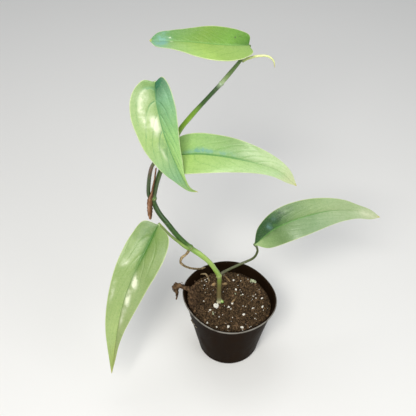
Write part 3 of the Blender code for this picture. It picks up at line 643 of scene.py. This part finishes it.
def makeVine():
    fine = spline(vine["path"], 10)
    steps = lengths(fine)
    marks = [steps[i * 10] for i in vine["nodesAt"]]

    def shape(angle, along):
        swell = sum(vine["swell"] / vine["radius"] * exp(-((along - mark) / vine["spread"]) ** 2)
                    - 0.05 * exp(-((along - mark + 2.6) / 0.8) ** 2) for mark in marks)
        ridge = vine["ridgeDepth"] * cos(vine["ridges"] * angle + 0.02 * along)
        lumpy = 0.03 * noise.noise(Vector((cos(angle) * 1.2, sin(angle) * 1.2, along * 0.25)))
        return 1 + swell + ridge + lumpy
    skin = stalkFinish("vineSkin", vine["colours"], 0.36, 0.85, 0.4)
    addPiece("vineStem", tube(vine["path"], 28, 10, shape), [skin], "vine_stem")
    scars = []
    for mark in marks[:-1]:
        i = int(np.searchsorted(steps, mark))
        ahead = unit(fine[i + 1, :3] - fine[i - 1, :3])
        centre = fine[i, :3] - ahead * 0.2
        radius = fine[i, 3] + vine["swell"] - 0.02
        scars.append(tube([(*(centre + ahead * off), radius + out) for off, out in vine["scar"]], 32, 3))
    skin = grainFinish("nodeScar", (0.17, 0.16, 0.065), (0.36, 0.33, 0.17), 0.6, 900, 0.3, (0.6, 0.0003))
    addPiece("nodeScars", gather(scars), [skin])
    skin = stalkFinish("stubSkin", [(0, (0.33, 0.42, 0.14)), (1, (0.16, 0.36, 0.04))])
    addPiece("stemStub", tube(besideStem(vine["stub"]), 18, 6), [skin])

    def lumpyRing(angle, along):
        return 1 + 0.06 * sin(3 * angle + 1) + 0.03 * sin(8 * angle)
    skin = grainFinish("collarSkin", (0.42, 0.38, 0.22), (0.66, 0.62, 0.44), 0.75, 700)
    addPiece("stemCollar", tube(besideStem(vine["collar"]), 24, 5, lumpyRing), [skin])


def groove(angle, along):  # a stalk has a shallow channel on its upper side
    off = (angle + pi * 0.5) % (2 * pi) - pi
    return 1 - 0.22 * exp(-(off / 0.5) ** 2) * min(1.0, along / 2.5) + 0.02 * sin(5 * angle)


def makeStalks():
    for letter, stalk in stalks.items():
        node = "petiole_" + letter
        skin = stalkFinish(node + "Skin", stalk["colours"], highlightPaint=stalk["highlightPaint"])
        addPiece("petiole" + letter.upper(), tube(stalk["path"], 22, 12, groove), [skin], node)


spear = {
    "path": [(6.4, 45.4, 272.6, 0.75), (9.2, 45.2, 275, 0.95), (14, 45.4, 276.8, 0.95),
        (19.4, 45, 278, 0.9), (24.6, 44, 278, 0.8), (28.4, 43, 275, 0.65), (29.5, 42, 270.2, 0.22)],
    # the rolled leaf's own pale green, made paler all along as painted highlight
    "colours": [(0, (0.36, 0.45, 0.12)), (0.4, (0.6, 0.66, 0.26)), (0.85, (0.62, 0.66, 0.3)),
        (1, (0.45, 0.38, 0.13))],
    "seam": 0.16,
}


def makeSpear():
    def shape(angle, along):  # the rolled blade's edge winds round it
        turn = (angle - 0.25 * along) % (2 * pi)
        return 1 - spear["seam"] * exp(-((turn - 3) / 0.22) ** 2) + 0.1 * (turn / (2 * pi) - 0.5)
    skin = stalkFinish("spearSkin", spear["colours"], 0.45)
    addPiece("leafSpear", tube(spear["path"], 26, 12, shape), [skin], "leaf_spear")


makeVine()
makeStalks()
makeSpear()
print("stems made")


roots = {
    "aerial": [(-33.3, 6, 119, 1), (-35.2, 6, 113.6, 1.15), (-36.6, 6, 110.8, 0.95),
        (-39.8, 4.2, 109.2, 1.25), (-41.4, 2.6, 106.2, 0.95), (-40.4, 3.6, 101.6, 0.95),
        (-36.6, 9, 91.8, 0.85), (-31, 17.4, 80.2, 0.85), (-26.4, 25, 71.4, 0.8), (-23, 29.4, 67.3, 0.75),
        (-21, 31, 66.6, 0.4)],
    "surface": [(-25.2, 25.6, 63.4, 0.4), (-23.2, 26.4, 63, 0.7), (-20.4, 27.2, 61.6, 0.8),
        (-18.4, 25.2, 59.2, 0.75), (-17.4, 22.6, 56.8, 0.6), (-17, 21.2, 53, 0.5)],
    "debris": [(-29.5, 5, 57, 1), (-32.8, 5.6, 62.4, 1.9), (-36.4, 5.8, 66.9, 1.7), (-40.4, 7, 68.2, 2),
        (-44.4, 8.8, 67.8, 2.3), (-46.8, 9.2, 65.4, 2.4), (-46.6, 8.8, 61.6, 1.8), (-45.6, 8.2, 57.6, 1.2),
        (-46.4, 6.8, 51.4, 0.5)],
    "strands": 46, "strandReach": 2.6, "matted": 320, "curls": 60, "lumps": 26,
    # crumbs stuck to the pot's left wall: angle in degrees, height and size
    "wallCrumbs": [(200, 46, 0.9), (202, 43.5, 0.7), (198, 42.5, 0.6), (207, 45, 0.8), (209, 43, 0.5),
        (213, 44.5, 0.6), (196, 49, 0.5)],
}


def knobbly(seed, deep):
    def shape(angle, along):
        spot = Vector((cos(angle) * 1.1, sin(angle) * 1.1 + seed, along * 0.55))
        return 1 + deep * noise.noise(spot) + deep * 0.7 * noise.noise(spot * 2.7)
    return shape


def rootFinish(name, dark, pale):
    skin = Finish(name, roughness=0.8, specular=0.25)
    patch = skin.noise(330, 5, 0.65)
    bands = skin.noise(7, 3, 0.6, stretch=(14, 1.5, 1), space="UV")
    skin.colour(skin.mix(patch.step(0.35, 0.68), dark, pale))
    skin.lay(bands.step(0.55, 0.7) * 0.5, dark)
    skin.bump(patch * 0.8 + bands * 0.5, 0.7, 0.0006)
    return skin


def makeRoots():
    skin = rootFinish("aerialSkin", (0.15, 0.098, 0.04), (0.46, 0.35, 0.19))
    root = tube(roots["aerial"], 18, 12, knobbly(1, 0.32))
    addPiece("aerialRoot", root, [skin], "aerial_root")
    skin = rootFinish("surfaceSkin", (0.12, 0.08, 0.038), (0.36, 0.27, 0.15))
    root = tube(roots["surface"], 14, 10, knobbly(4, 0.25))
    addPiece("surfaceRoot", root, [skin], "surface_root")


def makeDebris():
    tuft = [tube(roots["debris"], 20, 12, knobbly(7, 0.55))]
    rng = random.Random(5)
    core = spline([spot[:3] for spot in roots["debris"]], 6)
    for i in range(roots["strands"]):
        start = rng.randrange(6, len(core) - 10)
        span = rng.randrange(6, 12)
        push = Vector((rng.uniform(-1, 1), rng.uniform(-1, 1), rng.uniform(-0.2, 1))) * roots["strandReach"]
        push.z = abs(push.z)
        path = []
        for k in range(5):
            at = Vector(core[min(start + k * span // 4, len(core) - 1)]) + push * sin(pi * k / 4)
            path.append((*at, rng.uniform(0.1, 0.22)))
        tuft.append(tube(path, 6, 4))
    for i in range(roots["matted"]):  # matted peat along the left rim
        x, y = rng.gauss(-32.2, 2.4), rng.gauss(2.5, 8)
        if not inPot(x, y, 60, 1.1):
            continue
        size = rng.uniform(0.5, 1.2)
        spot = (x, y, soilHeight(x, y) + rng.uniform(0.1, 1) * rng.uniform(0.5, 4.6))
        tuft.append(grain(rng, spot, size, (1.3, 0.8, 0.7), 1, 0.3))
    for i in range(roots["curls"]):
        x, y, turn = rng.gauss(-28.5, 2.4), rng.gauss(4, 6.5), rng.uniform(0, 6.28)
        path = [(x + k * 1.1 * cos(turn), y + k * 1.1 * sin(turn),
                 soilHeight(x, y) + 1.2 + 1.3 * sin(1.05 * k) + 0.2 * k, 0.16) for k in range(4)]
        if all(inPot(*spot[:2], 58, 0.8) for spot in path):
            tuft.append(tube(path, 6, 4))
    for i in range(roots["lumps"]):
        at = core[rng.randrange(4, len(core) - 4)]
        size = rng.uniform(0.4, 0.9)
        spot = [at[k] + rng.uniform(*reach) for k, reach in enumerate(((-1.2, 1.2), (-1.2, 1.2), (0.2, 1.4)))]
        tuft.append(grain(rng, spot, size, (1.2, 0.9, 0.8), 2, 0.2))
    skin = rootFinish("debrisSkin", (0.038, 0.021, 0.01), (0.17, 0.1, 0.05))
    addPiece("rimDebris", gather(tuft), [skin], "rim_debris")
    crumbs = []
    for angle, high, size in roots["wallCrumbs"]:
        turn = radians(angle)
        reach = (wallInside(high) + pot["wall"]) * rimFactor(turn, high) + size * 0.25
        spot = (reach * cos(turn), reach * sin(turn), high)
        crumbs.append(grain(rng, spot, size, (1, 1, 1.2), 2, 0.22))
    addBits("wallCrumbs", crumbs, "wallCrumb", (0.05, 0.035, 0.02), (0.3, 0.26, 0.2))


# the path's fourth number is half the sheath's width
sheath = {
    "path": [(-58.4, 19.8, 193.4, 0.5), (-60.2, 18.6, 181.8, 0.65), (-62.6, 17.4, 170, 0.95),
        (-63.9, 17.5, 164, 2.2), (-64.6, 15.6, 158.4, 2.4), (-65, 13, 152.4, 2), (-64.6, 11, 146.6, 0.9)],
    "thick": 0.28, "across": 16,
    "fibres": [(0.3, (0.045, 0.018, 0.008)), (0.5, (0.15, 0.06, 0.024)), (0.72, (0.36, 0.19, 0.085))],
    # pale is a painted highlight along one side, and dark is painted shade along the other edge
    "patch": (0.33, 0.17, 0.08), "pale": (0.5, 0.28, 0.17), "dark": (0.028, 0.013, 0.007),
}


def sheathFinish():
    skin = Finish("drySheath", roughness=0.7, specular=0.3)
    lines = skin.noise(5, 4, 0.65, stretch=(2.5, 16, 1), space="UV")
    across = skin.axes("UV")[1] + (lines - 0.5) * 0.3
    skin.colour(skin.ramp(lines, sheath["fibres"]))
    skin.lay(skin.noise(260, 3).step(0.55, 0.72) * 0.5, sheath["patch"])
    # painted highlight: a pale strip along one side
    pale = across.hump(0.3, 0.13) * (0.3 + skin.noise(150, 3).step(0.4, 0.6))
    skin.lay(pale * 0.8, sheath["pale"])
    # painted shade along the other edge
    skin.lay(across.hump(0.95, 0.2) * 0.8, sheath["dark"])
    skin.bump(lines, 0.8, 0.0006)
    return skin


def makeSheath():
    fine = spline(sheath["path"], 14)
    count = len(fine) - 1

    def place(along, across):
        x, y, z, half = fine[min(int(round(along * count)), count)]
        side = 2 * across - 1
        torn = 1 + 0.28 * noise.noise(Vector((along * 26, copysign(3, side), 0.5))) * abs(side)
        wide = side * half * torn
        cupped = half * 0.45 * side * side + 0.12 * sin(9 * side + along * 20)
        return Vector((x + wide * 0.95, y + wide * 0.3 + cupped, z + wide * 0.1)) * mm
    bm = mappedSheet(count, sheath["across"], place)
    piece = addPiece("sheathPaper", bm, [sheathFinish()], "dry_sheath")
    paper = piece.modifiers.new("paper", "SOLIDIFY")
    paper.thickness = sheath["thick"] * mm
    paper.offset = 0


makeRoots()
makeDebris()
makeSheath()
print("roots made")


blade = {
    "thick": 0.45, "ribExtra": 1, "ribReach": 0.09, "along": 230, "across": 92, "axisStep": 0.25,
    "spare": 8,
    "stops": (0, 0.22, 0.5, 0.8, 0.97),
}
# axis, face, fold and the outlines are in mm and degrees; tones are the blade's colours from notch to tip
leaves = [
    {"node": "leaf_a", "piece": "leafLowerLeft",
     "axis": [(-60, 1, 153), (-66, -8, 142.5), (-78.5, -26, 123), (-89.5, -44, 91.5), (-98.5, -60, 35.5)],
     "face": (-0.1, -0.62, 0.78), "fold": (8, 8), "wave": (0.5, 3.1, 0.4),
     "rib": [(0.5, 3), (16, 2), (34, 2), (52, 1), (76, 0.5), (108, 0), (141.5, -0.5)],
     "plus": [(6.5, 15), (21, 19), (36, 19), (51, 16.5), (66.5, 13.5), (81, 10), (96, 6),
         (111, 3), (126, 1.5)],
     "minus": [(2.5, -9.5), (18, -14), (33.5, -14.5), (49, -14), (64.5, -13), (80, -11.5),
         (95.5, -9.5), (111, -7), (126, -4)],
     "plusTones": [(0.146, 0.248, 0.047), (0.169, 0.258, 0.06), (0.248, 0.335, 0.125),
         (0.248, 0.322, 0.105), (0.27, 0.315, 0.063)],
     "minusTones": [(0.065, 0.143, 0.009), (0.188, 0.293, 0.071), (0.248, 0.347, 0.115),
         (0.324, 0.44, 0.142), (0.306, 0.378, 0.072)],
     "veins": (8, 0.42, 0), "vein": (0.14, 0.28, 0.05), "veinShow": 0.42, "ribTone": (0.045, 0.165, 0.01),
     "ribSpan": (0.33, 0.12), "quilt": 0.16, "bulge": 1,
     # the cream patches on this leaf are painted glare
     "patches": [(0.46, 0.25, 0.035, 0.18, 1.3, "cream"), (0.57, 0.24, 0.038, 0.19, 1.1, "cream"),
         (0.67, 0.28, 0.05, 0.2, 0.5, "cream"), (0.335, -0.66, 0.02, 0.15, 0.6, "cream"),
         (0.5, -0.8, 0.05, 0.1, 0.4, "cream"), (0.52, 0.03, 0.1, 0.05, 0.5, "deep"),
         (0.11, -0.42, 0.13, 0.5, 0.6, "deep")]},
    {"node": "leaf_b", "piece": "leafUpperLeft",
     "axis": [(-55.5, 15, 277.5), (-55, 8.5, 261.5), (-50.5, 2, 242), (-42, -3, 215.5), (-33.5, -4, 195.5),
         (-25.5, -4, 190)],
     "face": (-0.1, -0.8, 0.6), "fold": (22, 16), "wave": (0.5, 2.6, 1.2),
     "rib": [(1, 0.5), (12, 0.5), (24, 1), (40, 0.5), (60, 0.5), (80, 0.5), (98, 0)],
     "plus": [(-3, 6.8), (6.4, 13.4), (19, 15.5), (31.5, 14), (42.5, 11.5), (53.5, 9),
         (64.5, 6.5), (75.5, 3.5), (87, 1.5)],
     "minus": [(-0.5, -8.5), (9, -16.3), (21.5, -19), (34, -18), (45, -17), (56, -14.5),
         (66.5, -11), (77, -6.5), (87.5, -3)],
     "plusTones": [(0.01, 0.049, 0.017), (0.172, 0.36, 0.192), (0.242, 0.456, 0.143), (0.352, 0.561, 0.165),
         (0.36, 0.5, 0.117)],
     "minusTones": [(0.137, 0.268, 0.062), (0.267, 0.388, 0.15), (0.319, 0.468, 0.154),
         (0.19, 0.368, 0.173), (0.256, 0.384, 0.112)],
     "veins": (8, 0.36, 0.35), "vein": (0.09, 0.27, 0.1), "veinShow": 1, "ribTone": (0.09, 0.27, 0.1),
     "ribSpan": (0.95, 0.022), "quilt": 0.6, "bulge": 1.4,
     # the cream patches on this leaf are painted glare
     "patches": [(0.19, -0.52, 0.05, 0.17, 0.75, "cream"), (0.31, -0.58, 0.07, 0.12, 0.9, "cream"),
         (0.4, -0.22, 0.06, 0.16, 1.2, "cream"), (0.6, -0.34, 0.05, 0.08, 0.4, "cream"),
         (0.06, 0.45, 0.07, 0.5, 1.3, "teal"), (0.56, -0.18, 0.1, 0.14, 0.28, "teal"),
         (0.3, 0.25, 0.08, 0.3, 0.22, "teal")]},
    {"node": "leaf_c", "piece": "leafMiddle",
     "axis": [(-44.5, 15, 210.5), (-21, 8, 217.5), (5.5, 0, 220), (30, -6, 215.5), (47, -10, 201.5)],
     "face": (-0.1, -0.6, 0.8), "fold": (8, 12), "wave": (0.5, 2.8, 2.1),
     "rib": [(-0.5, 0), (18, 0), (36, -0.5), (54, -1), (71, -1), (86, 0), (101, 0)],
     "plus": [(-1.5, 10), (9, 14.5), (20.5, 15.5), (32.5, 15), (44, 14), (56, 12), (67.5, 9.8),
         (79, 7.3), (91, 4.6)],
     "minus": [(-1.5, -10), (8.5, -15.5), (20, -16), (32, -15), (43.5, -13), (55, -11),
         (67, -8.7), (79, -6.6), (91, -4)],
     "plusTones": [(0.259, 0.482, 0.073), (0.274, 0.458, 0.136), (0.201, 0.34, 0.108),
         (0.388, 0.502, 0.253), (0.512, 0.544, 0.306)],
     "minusTones": [(0.32, 0.546, 0.088), (0.324, 0.499, 0.135), (0.313, 0.474, 0.163),
         (0.35, 0.488, 0.232), (0.496, 0.528, 0.289)],
     "veins": (9, 0.4, 0.5), "vein": (0.13, 0.32, 0.06), "veinShow": 0.42, "ribTone": (0.065, 0.23, 0.045),
     "ribSpan": (0.52, 0.04), "quilt": 0.13, "bulge": 1,
     # the sky patches are a painted sheen
     "patches": [(0.22, 0.15, 0.07, 0.13, 0.95, "sky"), (0.34, 0.12, 0.09, 0.1, 0.7, "sky"),
         (0.13, 0.1, 0.05, 0.1, 0.5, "sky"), (0.46, 0.2, 0.05, 0.12, 0.3, "sky")]},
    {"node": "leaf_d", "piece": "leafTop",
     "axis": [(10.5, 46, 286), (-8.5, 42, 289), (-34.5, 37.5, 294.5), (-59.5, 38, 295)],
     "face": (0.05, -0.35, 0.93), "fold": (12, 8), "wave": (0.5, 2.4, 0.8),
     "rib": [(0, 0), (12, 0), (24, 0), (36, 0), (48, 0), (60, 0), (71.5, 0)],
     "plus": [(-1.5, 7.5), (5.5, 13), (14, 16), (22.5, 17.5), (31.5, 16.5), (40, 14), (48, 10.8),
         (56.5, 8.2), (66, 6.2)],
     "minus": [(-1.5, -8), (5.5, -12.5), (14, -14.5), (22.5, -14.5), (31, -13.5), (39.5, -12),
         (48, -10.2), (57, -8.4), (66, -6.2)],
     "plusTones": [(0.217, 0.358, 0.086), (0.265, 0.411, 0.093), (0.289, 0.448, 0.087),
         (0.199, 0.352, 0.094), (0.143, 0.338, 0.131)],
     "minusTones": [(0.041, 0.137, 0.006), (0.133, 0.294, 0.034), (0.169, 0.299, 0.043),
         (0.102, 0.247, 0.045), (0.094, 0.251, 0.086)],
     "veins": (8, 0.45, 0.1), "vein": (0.12, 0.28, 0.04), "veinShow": 0.32, "ribTone": (0.13, 0.31, 0.05),
     "ribSpan": (0.75, 0.03), "quilt": 0.12, "bulge": 0.8,
     # the sky patch is a painted sheen over the tip, and the cream marks are painted glints
     "patches": [(0.88, 0.1, 0.07, 0.9, 1.1, "sky"), (0.78, 0.08, 0.01, 0.06, 1.4, "cream"),
         (0.8, -0.25, 0.008, 0.05, 0.8, "cream"), (0.19, -0.5, 0.007, 0.05, 1.3, "spot"),
         (0.16, -0.62, 0.006, 0.04, 0.9, "spot")]},
    {"node": "leaf_e", "piece": "leafLowerRight",
     "axis": [(19, 10, 123), (42, 12, 143.5), (73, 18, 149), (101.5, 25, 143), (125.5, 30, 130)],
     "face": (-0.05, -0.66, 0.75), "fold": (8, 8), "wave": (0.5, 2.7, 1.6),
     "rib": [(-1.5, -3), (16, -2), (33, -2.5), (53, -1.5), (71, -0.5), (97, 0), (120.5, 0)],
     "plus": [(8, 5.5), (20, 9.5), (32.5, 11.5), (45.5, 12), (58, 11.5), (70.5, 10), (83, 8),
         (95.5, 5), (109, 3.4)],
     "minus": [(7.5, -12), (19.5, -16), (32.5, -17.5), (45.5, -17), (58, -15), (71, -12),
         (83.5, -9), (96.5, -6.4), (110, -4.3)],
     # the first two tones of the upper half are painted shade near the notch
     "plusTones": [(0.012, 0.056, 0.004), (0.024, 0.112, 0.008), (0.211, 0.308, 0.116),
         (0.335, 0.431, 0.217), (0.51, 0.561, 0.342)],
     "minusTones": [(0.308, 0.442, 0.177), (0.127, 0.216, 0.069), (0.184, 0.285, 0.127),
         (0.361, 0.459, 0.245), (0.522, 0.558, 0.333)],
     "veins": (9, 0.42, 0.3), "vein": (0.11, 0.22, 0.06), "veinShow": 0.32, "ribTone": (0.095, 0.25, 0.045),
     "ribSpan": (0.62, 0.035), "quilt": 0.12, "bulge": 1,
     # the shade patches are painted shade, the glint patches painted glints, and the cream a real pale tip
     "patches": [(0.16, 0.48, 0.13, 0.45, 1.9, "shade"), (0.29, 0.7, 0.05, 0.3, 0.8, "shade"),
         (0.19, 0.33, 0.02, 0.2, 0.4, "glint"), (0.25, 0.6, 0.016, 0.18, 0.12, "glint"),
         (0.88, -0.1, 0.08, 0.5, 0.4, "cream")]},
]
leafTones = {
    # cream is painted glare, and a real pale cream only on leaf e's tip
    "cream": (0.74, 0.78, 0.56), "deep": (0.07, 0.17, 0.016), "teal": (0.03, 0.15, 0.07),
    # sky is a painted sheen, and shade is painted shade
    "sky": (0.15, 0.34, 0.25), "spot": (0.05, 0.07, 0.03), "shade": (0.012, 0.062, 0.008),
    # glint is painted glints
    "glint": (0.21, 0.4, 0.42), "edge": (0.62, 0.68, 0.38), "tip": (0.5, 0.47, 0.1), "speck": (0.6,
    0.68, 0.42),
    "underside": (0.36, 0.5, 0.24), "undersidePale": (0.42, 0.55, 0.3), "undersideVein": (0.46, 0.6, 0.3),
    "undersideRib": (0.5, 0.6, 0.28), "paler": (1.2, 1.14, 1.22), "deeper": (0.74, 0.85, 0.7),
}
# tones of painted glare and glints, which are also made less rough
glareTones = ("cream", "glint")


def leafFinish(name, leaf):
    skin = Finish(name + "Skin", roughness=0.36, specular=0.5, coat=0.15, coatRoughness=0.24)
    along, across = skin.axes("UV")[:2]
    side = across * 2 - 1
    away = abs(side)
    count, slope, phase = leaf["veins"]
    cloud = skin.noise(55, 4, 0.55)
    wander = skin.noise(75, 3, 0.6)
    drift = along + (wander - 0.5) * 0.1
    tones = [list(zip(blade["stops"], leaf[key])) for key in ("minusTones", "plusTones")]
    near, far = (skin.ramp(drift, stops) for stops in tones)
    skin.colour(skin.mix(side.step(-0.03, 0.03), near, far))
    pale = skin.mix(1, skin.base, leafTones["paler"], "MULTIPLY")
    deep = skin.mix(1, skin.base, leafTones["deeper"], "MULTIPLY")
    skin.lay(cloud.step(0.5, 0.72) * 0.6, pale)
    skin.lay(cloud.step(0.5, 0.3) * 0.6, deep)
    # side veins leave the midrib squarely at the notch and lean forward further on
    forward = along - away ** 1.25 * along.step(0, 0.4) * slope
    ridge = (forward * count + phase + (wander - 0.5) * 0.5).ridge()
    vein = ridge.step(0.76, 1) * (1 - away.step(0.5, 0.97)) * away.step(0.01, 0.08)
    show = vein * leaf["veinShow"] * (0.4 + 0.8 * skin.noise(90, 2).step(0.4, 0.6))
    skin.lay(show, leaf["vein"])
    pocket = (1 - ridge).step(0.25, 0.85) * away.step(0.04, 0.2) * (1 - away.step(0.6, 0.95))
    skin.lay(pocket * leaf["veinShow"] * 0.35, pale)
    hair = (forward * (count * 6) + skin.noise(160, 3) * 2.4).ridge()
    skin.lay(hair.step(0.45, 1) * 0.3, deep)
    net = skin.cells(900, "DISTANCE_TO_EDGE")
    skin.lay(net.step(0.16, 0.02) * 0.5, pale)
    skin.lay(skin.noise(620, 3, 0.65).step(0.52, 0.36) * 0.45, deep)
    # patches: share along, side, length, width, strength and tone
    # the cream, glint and sky patches are painted glare, glints and sheen, the shade patches painted shade
    patchy = skin.noise(210, 3, 0.6).step(0.36, 0.6)
    glareMask = patchy * 0
    for at, where, long, wide, strength, tone in leaf["patches"]:
        mask = (along + (wander - 0.5) * 0.06).hump(at, long)
        mask = mask * (side + (wander - 0.5) * 0.25).hump(where, wide)
        mask = (mask * (0.35 + patchy * 0.9) * strength).math("MINIMUM", 1)
        skin.lay(mask, leafTones[tone])
        # painted glare and glints are also made less rough
        if tone in glareTones:
            glareMask = glareMask + mask
    end, wide = leaf["ribSpan"]
    rib = (away * (0.6 + 0.9 * skin.noise(190, 3, 0.6))).hump(0, wide)
    rib = rib * (1 - along.step(end - 0.12, min(end + 0.2, 1)))
    skin.lay(rib * 0.95, leaf["ribTone"])
    skin.lay(away.hump(0, 0.018) * along.step(0.2, 0.5) * 0.4, leaf["ribTone"])
    speck = skin.noise(1300, 3, 0.6)
    skin.lay(speck.step(0.52, 0.72) * 0.16, leafTones["speck"])
    dots = skin.cells(260).step(0.1, 0.04) * skin.noise(40, 2).step(0.56, 0.62)
    skin.lay(dots * 0.35, leaf["ribTone"])
    skin.lay(away.step(0.955, 0.992) * 0.8, leafTones["edge"])
    skin.lay(along.step(0.962, 0.995) * 0.85, leafTones["tip"])
    skin.rough(0.31 + cloud * 0.12 + speck * 0.1 + vein * 0.1 - glareMask * 0.12)
    skin.bump(speck * 0.28 + net.step(0.14, 0.02) * -0.25 + hair.step(0.5, 1) * -0.12 + vein * -0.35
              + skin.noise(420, 3) * 0.25, 0.4, 0.00045)
    return skin


def undersideFinish():
    skin = Finish("leafUnderside", roughness=0.55, specular=0.35)
    along, across = skin.axes("UV")[:2]
    away = abs(across * 2 - 1)
    cloud = skin.noise(70, 4, 0.6)
    skin.colour(skin.mix(cloud.step(0.35, 0.7), leafTones["underside"], leafTones["undersidePale"]))
    ridge = ((along - away ** 1.25 * 0.3) * 10).ridge()
    skin.lay(ridge.step(0.82, 1) * 0.4 * (1 - away.step(0.6, 1)), leafTones["undersideVein"])
    skin.lay(away.hump(0, 0.06) * 0.8, leafTones["undersideRib"])
    skin.bump(cloud + ridge.step(0.75, 1) * 0.5, 0.4, 0.0004)
    return skin


def smoothStep(share):
    share = min(max(share, 0.0), 1.0)
    return share * share * (3 - 2 * share)


def leafAxis(leaf):
    # the axis as a table of places, facings and side directions, running on past both ends
    axis = spline(leaf["axis"], 12)
    steps = lengths(axis)
    spots = np.arange(-blade["spare"], steps[-1] + blade["spare"], blade["axisStep"])

    def onAxis(at):
        at = np.clip(at, 0, steps[-1])
        return np.stack([np.interp(at, steps, axis[:, i]) for i in range(3)], axis=-1)
    held = np.clip(spots, 0, steps[-1])
    aheads = unit(onAxis(held + 2) - onAxis(held - 2))
    places = onAxis(held) + aheads * (spots - held)[:, None]
    faces = unit(np.array(leaf["face"]) - aheads * (aheads @ np.array(leaf["face"]))[:, None])
    return places, faces, np.cross(faces, aheads)


def makeLeaf(leaf, underside):
    table = leafAxis(leaf)
    # an edge starts and ends where the midrib does
    rib = leaf["rib"]
    curves = {"rib": spline(rib, 12)}
    for key in ("plus", "minus"):
        curves[key] = spline([rib[0], *leaf[key], rib[-1]], 12)
    tall, waves, wavePhase = leaf["wave"]
    count, slope, phase = leaf["veins"]
    quilt = leaf["quilt"]
    halves = [radians(angle) for angle in leaf["fold"]]
    known = {}

    def onCurve(key, share):
        if (key, share) not in known:
            curve = curves[key]
            at = share * (len(curve) - 1)
            known[key, share] = [float(np.interp(at, range(len(curve)), curve[:, i])) for i in range(2)]
        return known[key, share]

    def place(share, across):
        share = round(share, 6)
        side = 2 * across - 1
        away = abs(side)
        ribAlong, ribAcross = onCurve("rib", share)
        edgeAlong, edgeAcross = onCurve("plus" if side > 0 else "minus", share)
        offset = (edgeAcross - ribAcross) * away
        lift = halves[0 if side > 0 else 1]
        at = (ribAlong + (edgeAlong - ribAlong) * away + blade["spare"]) / blade["axisStep"]
        i = min(max(int(at), 0), len(table[0]) - 2)
        part = at - i
        spot, face, beside = ((1 - part) * row[i] + part * row[i + 1] for row in table)
        body = sin(pi * min(1.0, share * 1.02)) ** 0.6 if 0 < share < 0.98 else 0.0
        ripple = tall * sin(2 * pi * waves * share + wavePhase + (1.1 if side > 0 else 0))
        rise = ripple * away ** 2 * sin(pi * share) * 1.2 + abs(offset) * sin(lift)
        rise += leaf["bulge"] * sin(pi * away ** 0.8) * 0.8 * body
        # the side veins are pressed in, the blade puckers between them, and the midrib lies in a groove
        lean = away ** 1.25 * slope * smoothStep(share / 0.4)
        ridge = abs(((share - lean) * count + phase) % 1.0 - 0.5) * 2
        rise -= quilt * exp(-((1 - ridge) / 0.2) ** 2) * (1 - away) ** 0.6 * min(1, away * 9) * body
        rise += (0.12 + quilt * 0.5) * noise.noise(Vector((share * 14, side * 3.2, count))) * body * away
        rise -= 0.28 * exp(-(away / 0.045) ** 2) * (1 - share)
        return Vector(spot + beside * (ribAcross + offset * cos(lift)) + face * rise) * mm
    bm = mappedSheet(blade["along"], blade["across"], place)
    weight = bm.verts.layers.deform.verify()
    uvLayer = bm.loops.layers.uv.active
    deep = blade["thick"] + blade["ribExtra"]
    for vertex in bm.verts:  # the blade is thicker along its midrib
        share, across = vertex.link_loops[0][uvLayer].uv
        near = exp(-((2 * across - 1) / blade["ribReach"]) ** 2) * max(0.0, 1 - share) ** 0.8
        vertex[weight][0] = (blade["thick"] + blade["ribExtra"] * near) / deep
    weld(bm, 1e-5)
    facing = Vector(leaf["face"])
    if sum(face.normal.dot(facing) for face in bm.faces) < 0:
        bmesh.ops.reverse_faces(bm, faces=bm.faces[:])
    finishes = [leafFinish(leaf["piece"], leaf), underside]
    piece = addPiece(leaf["piece"], bm, finishes, leaf["node"])
    piece.vertex_groups.new(name="rib")
    thick = piece.modifiers.new("blade", "SOLIDIFY")
    thick.thickness = deep * mm
    thick.offset = -1
    thick.vertex_group = "rib"
    thick.material_offset = 1
    thick.material_offset_rim = 0


underside = undersideFinish()
for leaf in leaves:
    makeLeaf(leaf, underside)
print("leaves made")


# places and sizes in metres; a light is its name, place, target, size, power and colour
studio = {
    "camera": (-0.018551, -0.435267, 0.590287), "pitch": 46, "lens": 68, "floor": (0.8, 0.79, 0.77),
    "floorReach": 3, "world": (0.55, 0.58, 0.62), "worldStrength": 0.5,
    "lights": [ ("keyLight", (-0.17, -0.66, 0.9), (-0.03, 0, 0.17), 0.34, 9, (1, 0.98, 0.93)),
        ("fillLight", (0.55, -0.55, 0.8), (0, 0, 0.17), 0.6, 3.2, (0.95, 0.98, 1)),
        ("topLight", (-0.1, 0.35, 1.05), (0, 0, 0.15), 0.5, 2.4, (1, 1, 1)),
    ],
}


def makeStudio():
    scene = bpy.context.scene
    bm = bmesh.new()
    bmesh.ops.create_grid(bm, x_segments=1, y_segments=1, size=studio["floorReach"])
    floor = addObject("studioFloor", meshFrom("studioFloor", bm))
    skin = Finish("paleFloor", roughness=0.8, specular=0.2)
    skin.colour(studio["floor"])
    floor.data.materials.append(skin.material)
    scene.world = bpy.data.worlds.new("studioWorld")
    scene.world.use_nodes = True
    backdrop = scene.world.node_tree.nodes["Background"]
    backdrop.inputs["Color"].default_value = (*studio["world"], 1)
    backdrop.inputs["Strength"].default_value = studio["worldStrength"]
    for name, spot, target, size, power, tone in studio["lights"]:
        lamp = bpy.data.lights.new(name, "AREA")
        lamp.shape = "SQUARE"
        lamp.size = size
        lamp.energy = power
        lamp.color = tone
        holder = addObject(name, lamp)
        holder.location = spot
        holder.rotation_euler = (Vector(target) - Vector(spot)).to_track_quat("-Z", "Y").to_euler()
    lens = bpy.data.cameras.new("photoCamera")
    lens.lens = studio["lens"]
    lens.sensor_width = 36
    lens.clip_start = 0.01
    camera = addObject("photoCamera", lens)
    camera.location = studio["camera"]
    camera.rotation_euler = (radians(studio["pitch"]), 0, 0)
    scene.camera = camera
    scene.view_settings.view_transform = "Standard"


makeStudio()
print("studio made")
